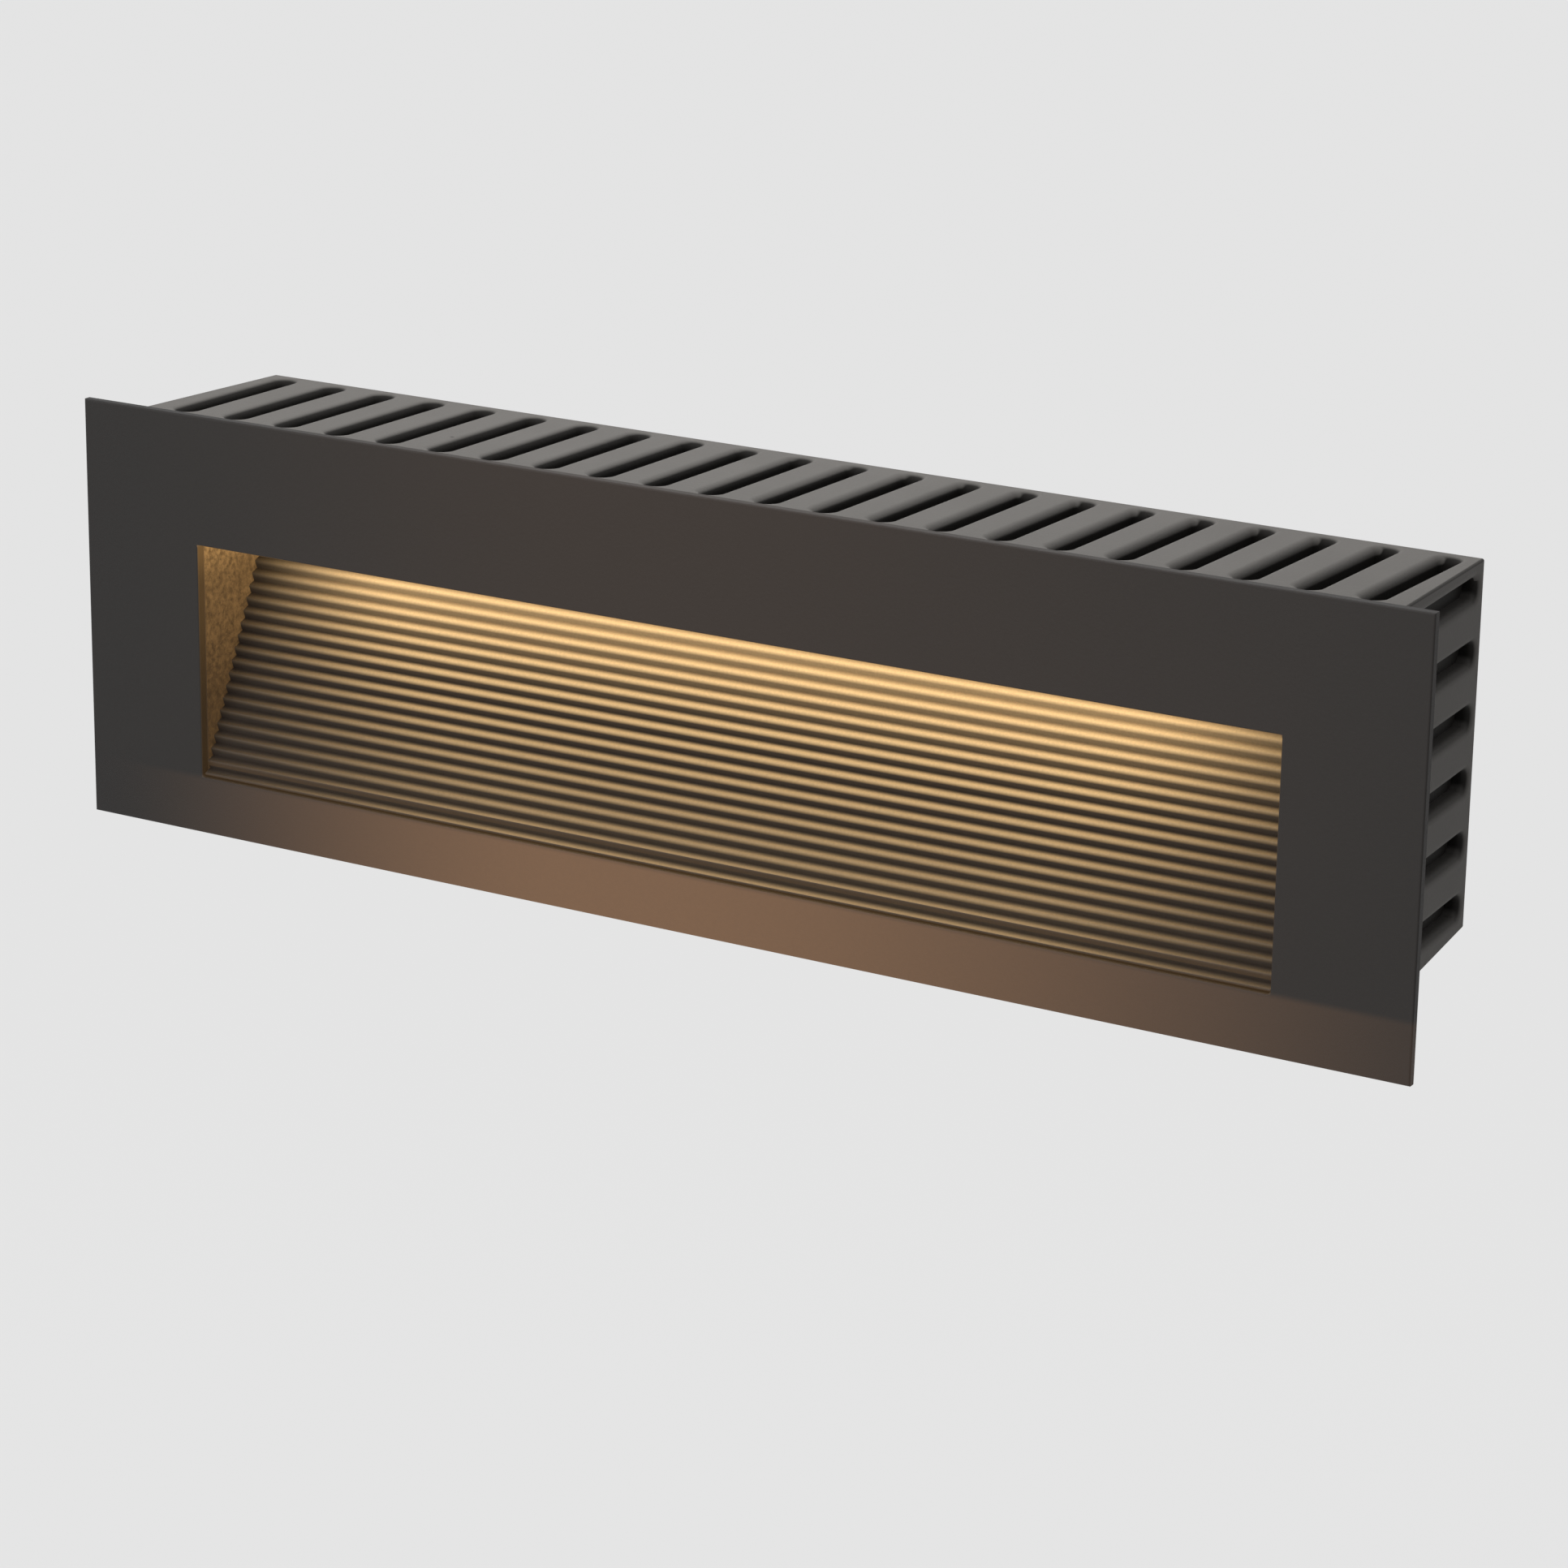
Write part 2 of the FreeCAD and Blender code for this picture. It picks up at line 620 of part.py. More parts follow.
def make_ribbed_tray():
    """Slope with its ribs, two cheeks, a shelf over them, and a flange behind the plate."""
    body = new_body("ribbed_tray")
    lip = -size("flange_thickness")
    low, high = value(RECESS_LOW), value(RECESS_HIGH)
    shelf_top = value(SHELF_TOP)
    shelf_end = value(slope_back(SHELF_TOP))
    wall_start = value(SLOPE_WALL_START)

    flange = new_sketch(body, "tray_flange", "XZ_Plane")
    rectangle(flange, f"-{FLANGE_HALF}", FLANGE_BASE, FLANGE_HALF, FLANGE_TOP)
    rectangle(flange, f"-{RECESS_HALF}", RECESS_LOW, RECESS_HALF, RECESS_HIGH)
    pad(body, flange, "flange_thickness")

    rear_chain = [(lip, shelf_top), (shelf_end, shelf_top), (0.0, wall_start), (0.0, low)]
    for side, left in (("left", f"-{CHEEK_OUTSIDE}"), ("right", RECESS_HALF)):
        cheek = new_sketch(body, f"{side}_cheek", "YZ_Plane", left)
        outline(cheek, rear_chain + [(lip, low)])
        pad(body, cheek, "tray_wall")

    ribs = rib_profile()
    slope = new_sketch(body, "ribbed_slope", "YZ_Plane")
    for piece in ribs:
        slope.addGeometry(piece)
    top_valley = ribs[-1].EndPoint
    chain = [top_valley, V(top_valley.x, high, 0), V(lip, high, 0)]
    chain += [V(deep, level, 0) for deep, level in rear_chain] + [ribs[0].StartPoint]
    for start, end in zip(chain, chain[1:]):
        slope.addGeometry(Part.LineSegment(start, end))
    pad(body, slope, f"2 * {RECESS_HALF}", both=True)

    slot = new_sketch(body, "light_slot", "XY_Plane", RECESS_HIGH)
    rectangle(
        slot,
        f"-{SLOT_HALF}",
        f"{SLOT_DEPTH} - light_slot_width / 2",
        SLOT_HALF,
        f"{SLOT_DEPTH} + light_slot_width / 2",
    )
    pocket(body, slot, "tray_wall", backwards=True)

    for number, across in enumerate(post_places(), start=1):
        post = new_sketch(body, f"post_{number}_end", "XZ_Plane", f"-{POST_END}")
        circle(post, across, DRIVER_LEVEL, "post_size")
        doc.recompute()
        pad(body, post, POST_END).Type = "UpToFirst"
    pilots = new_sketch(body, "post_threads", "XZ_Plane", f"-{POST_END}")
    for across in post_places():
        circle(pilots, across, DRIVER_LEVEL, "screw_size")
    pocket(body, pilots, "screw_bite", backwards=True)

    threads = new_sketch(body, "carrier_threads", "XY_Plane", SHELF_TOP)
    for across in row_places():
        circle(threads, across, CARRIER_SCREW_DEPTH, "carrier_screw_size")
    pocket(body, threads, "carrier_screw_bite")

    holes = new_sketch(body, "stud_holes", "XZ_Plane")
    for across, level, _ in stud_places():
        circle(holes, across, level, STUD_HOLE)
    pocket(body, holes, "flange_thickness", backwards=True)
    return body


def row_places():
    """Four places along X, for the channel's screws and for the studs in the top flange."""
    outermost = f"({DIFFUSER_HALF} - carrier_screw_inset)"
    return [f"{share} * {outermost}" for share in ("-1", "-1 / 3", "1 / 3", "1")]


def post_places():
    """Centres of the tray's posts, along X: two for the driver, one each for terminals and earth."""
    driver = [f"{DRIVER_LEFT} - ear_length / 2", f"{DRIVER_RIGHT} + ear_length / 2"]
    return driver + [TERMINAL_CENTRE, EARTH_POST]


def stud_places():
    """Weld studs as centre and washer seat: four along the top flange and two at each end.

    The upper stud at each end also holds the foot of a grip spring.
    """
    top = [(across, STUD_TOP, "0") for across in row_places()]
    ends = [
        (f"{side} * {STUD_SIDE}", level, seat)
        for side in (-1, 1)
        for level, seat in ((LOWER_STUD_LEVEL, "0"), (SPRING_LEVEL, "spring_strip"))
    ]
    return top + ends


def make_stud_hardware():
    """Weld studs on the plate, and the washers and thin nuts that hold the tray's flange."""
    studs, washers, nuts = [], [], []
    for number, (across, level, seat_depth) in enumerate(stud_places(), start=1):
        spot = (across, seat_depth, level)
        root = (across, "-flange_thickness", level)
        studs.append(rod(f"stud_{number}", "y", *root, "stud_size", "stud_length"))
        ring = rod(f"washer_blank_{number}", "y", *spot, "washer_size", "washer_thickness")
        bore = rod(f"washer_bore_{number}", "y", *spot, STUD_HOLE, "washer_thickness")
        washers.append(cut(f"washer_{number}", ring, bore))
        nut_at = (across, f"{seat_depth} + washer_thickness", level)
        blank = hexagon(f"nut_blank_{number}", "y", *nut_at, "nut_flats", "nut_height")
        thread = rod(f"nut_thread_{number}", "y", *nut_at, "stud_size", "nut_height")
        nuts.append(cut(f"nut_{number}", blank, thread))
    return [group("face_studs", studs), group("stud_washers", washers), group("stud_nuts", nuts)]


# Light source

def make_diffuser():
    strip = block(
        "diffuser",
        f"-{DIFFUSER_HALF}",
        CARRIER_FRONT,
        DIFFUSER_BASE,
        f"2 * {DIFFUSER_HALF}",
        "diffuser_width",
        "diffuser_thickness",
    )
    ring = block(
        "seal_blank",
        f"-{DIFFUSER_HALF}",
        CARRIER_FRONT,
        SHELF_TOP,
        f"2 * {DIFFUSER_HALF}",
        "diffuser_width",
        "seal_thickness",
    )
    mouth = block(
        "seal_mouth",
        f"-{SLOT_HALF}",
        f"{SLOT_DEPTH} - light_slot_width / 2",
        SHELF_TOP,
        f"2 * {SLOT_HALF}",
        "light_slot_width",
        "seal_thickness",
    )
    return [strip, cut("diffuser_gasket", ring, mouth)]


def make_led_carrier():
    """Aluminium channel over the strip, with a foot behind it that stands on the shelf."""
    body = new_body("led_carrier")
    sketch = new_sketch(body, "carrier_section", "YZ_Plane")
    wall = size("carrier_wall")
    front, rear = value(CARRIER_FRONT), value(CARRIER_REAR)
    shelf, rest, ceiling = value(SHELF_TOP), value(DIFFUSER_TOP), value(CEILING)
    inner_rear = rear - wall - size("carrier_clearance") - wall
    foot_end = rear + size("carrier_foot")
    outline(
        sketch,
        [
            (front, rest),
            (front + wall, rest),
            (front + wall, ceiling),
            (inner_rear, ceiling),
            (inner_rear, rest),
            (rear - wall, rest),
            (rear - wall, shelf),
            (foot_end, shelf),
            (foot_end, shelf + wall),
            (rear, shelf + wall),
            (rear, ceiling + wall),
            (front, ceiling + wall),
        ],
    )
    pad(body, sketch, f"2 * {DIFFUSER_HALF}", both=True)
    holes = new_sketch(body, "carrier_holes", "XY_Plane", SHELF_TOP)
    for across in row_places():
        circle(holes, across, CARRIER_SCREW_DEPTH, "carrier_screw_size + 2 * running_clearance")
    pocket(body, holes, "carrier_wall", backwards=True)
    return body


def make_light_strip():
    """Tape, board and chips under the channel's ceiling, and the screws in its foot."""
    tape = block(
        "thermal_tape",
        f"-{BOARD_HALF}",
        f"{BOARD_MIDDLE} - board_width / 2",
        BOARD_TOP,
        f"2 * {BOARD_HALF}",
        "board_width",
        "tape_thickness",
    )
    board = block(
        "led_board",
        f"-{BOARD_HALF}",
        f"{BOARD_MIDDLE} - board_width / 2",
        f"{BOARD_TOP} - board_thickness",
        f"2 * {BOARD_HALF}",
        "board_width",
        "board_thickness",
    )
    chips = []
    for number in range(int(size("chip_count"))):
        step = f"({number} - (chip_count - 1) / 2) * {CHIP_PITCH}"
        chips.append(
            block(
                f"chip_{number + 1}",
                f"{step} - chip_length / 2",
                f"{BOARD_MIDDLE} - chip_width / 2",
                f"{BOARD_TOP} - board_thickness - chip_height",
                "chip_length",
                "chip_width",
                "chip_height",
            )
        )
    screws = []
    for number, across in enumerate(row_places(), start=1):
        screws.append(
            socket_screw(
                f"carrier_screw_{number}",
                "z",
                (across, CARRIER_SCREW_DEPTH, f"{SHELF_TOP} + carrier_wall"),
                "carrier_screw_size",
                "carrier_wall + carrier_screw_bite",
                "carrier_screw_head",
                "carrier_wall",
                points_back=True,
            )
        )
    return [tape, board, group("led_chips", chips), group("carrier_screws", screws)]


# Driver, terminals and inner wires

def make_driver():
    """Open case with two ears, the compound cast into it, and its lid."""
    body = new_body("driver_case")
    low, high = f"{DRIVER_LEVEL} - driver_height / 2", f"{DRIVER_LEVEL} + driver_height / 2"
    case = new_sketch(body, "case_outline", "XZ_Plane", f"-{POST_END}")
    rectangle(case, DRIVER_LEFT, low, DRIVER_RIGHT, high)
    pad(body, case, f"{DRIVER_DEPTH} - driver_wall", backwards=True)
    hollow = new_sketch(body, "case_hollow", "XZ_Plane", f"-({POST_END} + driver_wall)")
    rectangle(
        hollow,
        f"{DRIVER_LEFT} + driver_wall",
        f"{low} + driver_wall",
        f"{DRIVER_RIGHT} - driver_wall",
        f"{high} - driver_wall",
    )
    pocket(body, hollow, DRIVER_DEPTH)
    ears = new_sketch(body, "case_ears", "XZ_Plane", f"-{POST_END}")
    ear_low, ear_high = f"{DRIVER_LEVEL} - ear_height / 2", f"{DRIVER_LEVEL} + ear_height / 2"
    rectangle(ears, f"{DRIVER_LEFT} - ear_length", ear_low, DRIVER_LEFT, ear_high)
    rectangle(ears, DRIVER_RIGHT, ear_low, f"{DRIVER_RIGHT} + ear_length", ear_high)
    pad(body, ears, "ear_thickness", backwards=True)
    holes = new_sketch(body, "ear_holes", "XZ_Plane", f"-{POST_END}")
    for across in post_places()[:2]:
        circle(holes, across, DRIVER_LEVEL, SCREW_HOLE)
    pocket(body, holes, "ear_thickness")

    potting = block(
        "driver_potting",
        f"{DRIVER_LEFT} + driver_wall",
        f"{POST_END} + driver_wall",
        f"{low} + driver_wall",
        "driver_length - 2 * driver_wall",
        f"{DRIVER_DEPTH} - 2 * driver_wall",
        "driver_height - 2 * driver_wall",
    )
    lid = block(
        "driver_lid",
        DRIVER_LEFT,
        f"{DRIVER_BACK} - driver_wall",
        low,
        "driver_length",
        "driver_wall",
        "driver_height",
    )
    screws = [
        post_screw(f"driver_screw_{number}", across, "ear_thickness")
        for number, across in enumerate(post_places()[:2], start=1)
    ]
    return [body, potting, lid, group("driver_screws", screws)]


def post_screw(name, across, held):
    """A screw driven forwards into one of the tray's posts, through a held thickness."""
    seat = (across, f"{POST_END} + {held}", DRIVER_LEVEL)
    length = f"screw_bite + {held}"
    return socket_screw(
        name, "y", seat, "screw_size", length, "screw_head", "head_height", points_back=True
    )


def pole_levels():
    return [f"{DRIVER_LEVEL} + {step} * pole_pitch" for step in (-1, 0, 1)]


def make_terminals():
    """Three-pole terminal block on its post, with wire openings at both ends."""
    blank = block(
        "terminal_blank",
        TERMINAL_LEFT,
        POST_END,
        f"{DRIVER_LEVEL} - terminal_height / 2",
        "terminal_length",
        "terminal_depth",
        "terminal_height",
    )
    tools = []
    screws = []
    middle = f"{POST_END} + terminal_depth / 2"
    right_poles = f"{TERMINAL_LEFT} + terminal_length - pole_depth"
    for number, level in enumerate(pole_levels(), start=1):
        for side, start in (("left", TERMINAL_LEFT), ("right", right_poles)):
            spot = (start, middle, level)
            tools.append(rod(f"pole_{side}_{number}", "x", *spot, "pole_bore", "pole_depth"))
        for side in (-1, 1):
            across = f"{TERMINAL_CENTRE} + {side} * (terminal_length / 2 - pole_depth / 2)"
            name = f"pole_screw_{number}_{'left' if side < 0 else 'right'}"
            tail = f"{POST_END} + terminal_depth - pole_screw / 2"
            well = (across, tail, level)
            tools.append(rod(name + "_well", "y", *well, "pole_screw", "pole_screw / 2"))
            head = rod(name + "_head", "y", *well, "pole_screw", "pole_screw / 3")
            drive = block(
                name + "_drive",
                f"{across} - pole_screw / 2",
                f"{tail} + pole_screw / 6",
                f"{level} - pole_screw / 12",
                "pole_screw",
                "pole_screw / 6",
                "pole_screw / 6",
            )
            screws.append(cut(name, head, drive))
    fixing = (TERMINAL_CENTRE, POST_END, DRIVER_LEVEL)
    tools.append(rod("terminal_hole", "y", *fixing, SCREW_HOLE, "terminal_depth"))
    body = cut("terminal_block", blank, *tools)
    holder = post_screw("terminal_fixing_screw", TERMINAL_CENTRE, "terminal_depth")
    return [body, group("terminal_screws", screws), holder]


def make_inner_wires():
    """Short mains leads to the driver, the earth lead, and two leads round the channel's end."""
    lead = size("lead_size")
    middle = value(f"{POST_END} + terminal_depth / 2")
    block_end = value(f"{TERMINAL_LEFT} + terminal_length")
    case_left, case_right = value(DRIVER_LEFT), value(DRIVER_RIGHT)
    driver_level = value(DRIVER_LEVEL)
    levels = [value(level) for level in pole_levels()]
    inside = size("pole_depth") / 2

    mains = []
    for number, level in enumerate(levels[:2], start=1):
        arrive = driver_level + (2 * number - 3) * lead
        points = [
            V(block_end - inside, middle, level),
            V(block_end + 5 * lead, middle, level),
            V(case_left - 6 * lead, middle + 2 * lead, arrive),
            V(case_left, middle + 2 * lead, arrive),
        ]
        mains.append(wire_tube(f"mains_lead_{number}", points, 3 * lead))

    barrel_end = value(f"{EARTH_POST} - screw_head / 2 - tag_barrel_length")
    barrel_depth = value(f"{POST_END} + tag_barrel / 2")
    earth = wire_tube(
        "earth_lead",
        [
            V(barrel_end + inside, barrel_depth, driver_level),
            V(barrel_end - lead, barrel_depth, driver_level),
            V(block_end + 2 * lead, middle, levels[2]),
            V(block_end - inside, middle, levels[2]),
        ],
        1.5 * lead,
    )

    gap = size("lead_spacing")
    board_end = value(BOARD_HALF)
    board_level = value(f"{BOARD_TOP} - board_thickness / 2")
    turn = value(DIFFUSER_HALF) + 2.5 * lead
    board_middle = value(BOARD_MIDDLE)
    driver_middle = value(f"{POST_END} + {DRIVER_DEPTH} / 2")
    leads = []
    for number, side in enumerate((-0.5, 0.5), start=1):
        deep = driver_middle + lead + side * gap
        leads.append(
            wire_tube(
                f"led_lead_{number}",
                [
                    V(case_right, deep, driver_level),
                    V(turn - side * gap, deep, driver_level),
                    V(turn - side * gap, deep, board_level),
                    V(turn - side * gap, board_middle + side * gap, board_level),
                    V(board_end, board_middle + side * gap, board_level),
                ],
                1.5 * lead,
            )
        )
    return [group("mains_leads", mains), earth, group("led_leads", leads)]


def make_insert_earth():
    """Earth tag on its post: a ring under the screw and a barrel that grips the lead."""
    spot = (EARTH_POST, POST_END, DRIVER_LEVEL)
    ring = rod("tag_ring", "y", *spot, "screw_head + tag_thickness", "tag_thickness")
    tail = "screw_head / 2 + tag_barrel_length"
    tongue = block(
        "tag_tongue",
        f"{EARTH_POST} - ({tail})",
        POST_END,
        f"{DRIVER_LEVEL} - tag_barrel / 2",
        tail,
        "tag_thickness",
        "tag_barrel",
    )
    barrel = rod(
        "tag_barrel_blank",
        "x",
        f"{EARTH_POST} - ({tail})",
        f"{POST_END} + tag_barrel / 2",
        DRIVER_LEVEL,
        "tag_barrel",
        "tag_barrel_length - tag_thickness",
    )
    hole = rod("tag_hole", "y", *spot, SCREW_HOLE, "tag_thickness")
    bore = rod(
        "tag_bore",
        "x",
        f"{EARTH_POST} - ({tail})",
        f"{POST_END} + tag_barrel / 2",
        DRIVER_LEVEL,
        "lead_size",
        "tag_barrel_length",
    )
    tag = cut("earth_tag", joined("tag_blank", [ring, tongue, barrel]), hole, bore)
    return [tag, post_screw("insert_earth_screw", EARTH_POST, "tag_thickness")]


# Grip springs

def spring_line():
    """Bends of the right-hand spring's face that lies on the flange and the cheek."""
    cheek = value(CHEEK_OUTSIDE)
    strip = size("spring_strip")
    peak = cavity_half(size("spring_peak")) - size("spring_clearance") - strip
    return [
        (cheek + size("spring_foot"), 0.0),
        (cheek, 0.0),
        (cheek, size("spring_seat")),
        (peak, size("spring_peak")),
        ((cheek + peak) / 2, size("spring_tail")),
    ]


def cavity_half(depth):
    """Half width of the box's cavity at a depth."""
    front = value(f"{BOX_FRONT_HALF} - box_wall")
    back = value(f"{BOX_BACK_HALF} - box_wall")
    share = (depth - value(BOX_FRONT)) / value(f"{CAVITY_BACK} - ({BOX_FRONT})")
    return front + (back - front) * share


def thick_line(points, thickness):
    """The outline of a strip of even thickness on the right of a line of points."""
    line = [V(x, y, 0) for x, y in points]
    steps = [(b - a).normalize() for a, b in zip(line, line[1:])]
    sides = [V(step.y, -step.x, 0) for step in steps]
    outer = [line[0] + sides[0] * thickness]
    for number, point in enumerate(line[1:-1]):
        mitre = (sides[number] + sides[number + 1]).normalize()
        outer.append(point + mitre * (thickness / mitre.dot(sides[number])))
    outer.append(line[-1] + sides[-1] * thickness)
    return [(p.x, p.y) for p in line] + [(p.x, p.y) for p in reversed(outer)]


def make_grip_springs():
    """Two leaf springs, each with a foot on the flange under one of the nuts."""
    springs = []
    for side, sign in (("left", -1), ("right", 1)):
        body = new_body(f"{side}_spring")
        sketch = new_sketch(body, f"{side}_spring_line", "XY_Plane", SPRING_LEVEL)
        strip = thick_line(spring_line(), size("spring_strip"))
        outline(sketch, [(sign * x, y) for x, y in strip])
        pad(body, sketch, "spring_width", both=True)
        hole = new_sketch(body, f"{side}_spring_hole", "XZ_Plane")
        circle(hole, f"{sign} * {STUD_SIDE}", SPRING_LEVEL, STUD_HOLE)
        pocket(body, hole, "spring_strip")
        springs.append(body)
    return [group("grip_springs", springs)]


# Back box

def wall_rows():
    """The four grooved walls: name, plane, level, axis and angle of the lean, way of the cut."""
    depth = value(BOX_DEPTH)
    top_lean = math.degrees(math.atan(size("top_draft") / depth))
    base_lean = math.degrees(math.atan(size("base_draft") / depth))
    side_lean = math.degrees(math.atan(size("side_draft") / depth))
    across, up = V(1, 0, 0), V(0, 1, 0)
    return [
        ("top", "XY_Plane", BOX_FRONT_TOP, across, -top_lean, False),
        ("base", "XY_Plane", BOX_FRONT_BASE, across, base_lean, True),
        ("right", "YZ_Plane", BOX_FRONT_HALF, up, side_lean, False),
        ("left", "YZ_Plane", f"-({BOX_FRONT_HALF})", up, -side_lean, True),
    ]


def stadium(sketch, start, end, run_across, shift):
    """A slot with round ends, from start to end along its run, at a shift beside it."""
    half = size("groove_width") / 2

    def point(run, beside):
        return V(run, beside, 0) if run_across else V(beside, run, 0)

    low, high = start + half, end - half
    sketch.addGeometry(Part.LineSegment(point(low, shift - half), point(high, shift - half)))
    sketch.addGeometry(
        Part.Arc(point(high, shift - half), point(end, shift), point(high, shift + half))
    )
    sketch.addGeometry(Part.LineSegment(point(high, shift + half), point(low, shift + half)))
    sketch.addGeometry(
        Part.Arc(point(low, shift + half), point(start, shift), point(low, shift - half))
    )


def make_back_box():
    """Drafted casting, open to the front, with blind grooves in its four walls."""
    body = new_body("back_box")
    shell = body.newObject("PartDesign::AdditiveWedge", "box_shell")
    outside = {
        "Xmin": f"-({BOX_FRONT_HALF})",
        "Xmax": BOX_FRONT_HALF,
        "Ymin": BOX_FRONT,
        "Ymax": "box_back",
        "Zmin": BOX_FRONT_BASE,
        "Zmax": BOX_FRONT_TOP,
        "X2min": f"-{BOX_BACK_HALF}",
        "X2max": BOX_BACK_HALF,
        "Z2min": BOX_BASE,
        "Z2max": BOX_TOP,
    }
    for prop, formula in outside.items():
        bind(shell, prop, formula)
    doc.recompute()

    cavity = body.newObject("PartDesign::SubtractiveWedge", "box_cavity")
    inside = {
        "Xmin": f"-({BOX_FRONT_HALF} - box_wall)",
        "Xmax": f"{BOX_FRONT_HALF} - box_wall",
        "Ymin": BOX_FRONT,
        "Ymax": CAVITY_BACK,
        "Zmin": f"{BOX_FRONT_BASE} + box_wall",
        "Zmax": f"{BOX_FRONT_TOP} - box_wall",
        "X2min": f"-({BOX_BACK_HALF} - box_wall)",
        "X2max": f"{BOX_BACK_HALF} - box_wall",
        "Z2min": f"{BOX_BASE} + box_wall",
        "Z2max": f"{BOX_TOP} - box_wall",
    }
    for prop, formula in inside.items():
        bind(cavity, prop, formula)
    doc.recompute()

    box_edges = [edge.copy() for edge in shell.Shape.Edges]

    def outer_edge(edge):
        middle = Part.Vertex(edge_middle(edge))
        at_front = edge_lies(edge, "y", value(BOX_FRONT))
        return not at_front and any(middle.distToShape(old)[0] < HAIR for old in box_edges)

    round_edges(body, "box_outer_edges", outer_edge, "box_edge")

    middle_level = value(f"({BOX_TOP} + {BOX_BASE}) / 2")
    side_run = f"({BOX_TOP} - {BOX_BASE} - 2 * side_groove_end)"
    mouths = []
    for name, plane, away, axis, lean, from_outside in wall_rows():
        sketch = new_sketch(body, f"{name}_grooves", plane, away)
        lengthwise = plane == "YZ_Plane"
        front = value(BOX_FRONT)
        offset = V(front, 0, 0) if lengthwise else V(0, front, 0)
        sketch.AttachmentOffset = FreeCAD.Placement(
            V(offset.x, offset.y, value(away)), FreeCAD.Rotation(axis, lean)
        )
        bind(sketch, "AttachmentOffset.Base.z", away)
        bind(sketch, "AttachmentOffset.Base.x" if lengthwise else "AttachmentOffset.Base.y", BOX_FRONT)
        count = int(size("side_groove_count" if lengthwise else "groove_count"))
        run = value(side_run if lengthwise else f"2 * ({BOX_BACK_HALF} - groove_end)")
        pitch = run / (count - 1)
        centre = middle_level if lengthwise else 0.0
        start = size("groove_front_land")
        end = value(f"{BOX_DEPTH} - groove_rear_land")
        for number in range(count):
            stadium(sketch, start, end, lengthwise, centre + (number - (count - 1) / 2) * pitch)
        pocket(body, sketch, "groove_depth", backwards=from_outside)
        doc.recompute()
        mouths.append(sketch.Shape.copy())

    def mouth_edge(edge):
        middle = Part.Vertex(edge_middle(edge))
        return any(
            middle.distToShape(mouth)[0] < HAIR
            for mouth in mouths
            if near_box(mouth.BoundBox, middle.Point)
        )

    round_edges(body, "groove_mouths", mouth_edge, "groove_mouth")

    back = new_sketch(body, "back_holes", "XZ_Plane", "-box_back")
    circle(back, GLAND_PLACE, GLAND_LEVEL, GLAND_HOLE)
    for side in ("-", ""):
        circle(back, f"{side}{FIXING_PLACE}", f"{BOX_TOP} - fixing_drop", "fixing_hole")
    pocket(body, back, "box_back_wall", backwards=True)

    boss = new_sketch(body, "earth_boss_ring", "XZ_Plane", f"-({CAVITY_BACK})")
    circle(boss, EARTH_PLACE, DRIVER_LEVEL, "earth_boss")
    pad(body, boss, "earth_boss_height")
    tapped = new_sketch(body, "earth_thread", "XZ_Plane", f"-({CAVITY_BACK} - earth_boss_height)")
    circle(tapped, EARTH_PLACE, DRIVER_LEVEL, "earth_screw_size")
    pocket(body, tapped, "earth_boss_height")
    return body


def make_earth_screw():
    """Earth screw and washer on the boss inside the box."""
    face = f"{CAVITY_BACK} - earth_boss_height"
    ring = rod(
        "earth_washer_blank",
        "y",
        EARTH_PLACE,
        f"{face} - washer_thickness",
        DRIVER_LEVEL,
        "earth_boss",
        "washer_thickness",
    )
    bore = rod(
        "earth_washer_bore",
        "y",
        EARTH_PLACE,
        f"{face} - washer_thickness",
        DRIVER_LEVEL,
        "earth_screw_size + 2 * running_clearance",
        "washer_thickness",
    )
    washer = cut("box_earth_washer", ring, bore)
    screw = socket_screw(
        "box_earth_screw",
        "y",
        (EARTH_PLACE, f"{face} - washer_thickness", DRIVER_LEVEL),
        "earth_screw_size",
        "earth_boss_height + washer_thickness",
        "earth_head",
        "head_height",
        points_back=False,
    )
    return [screw, washer]


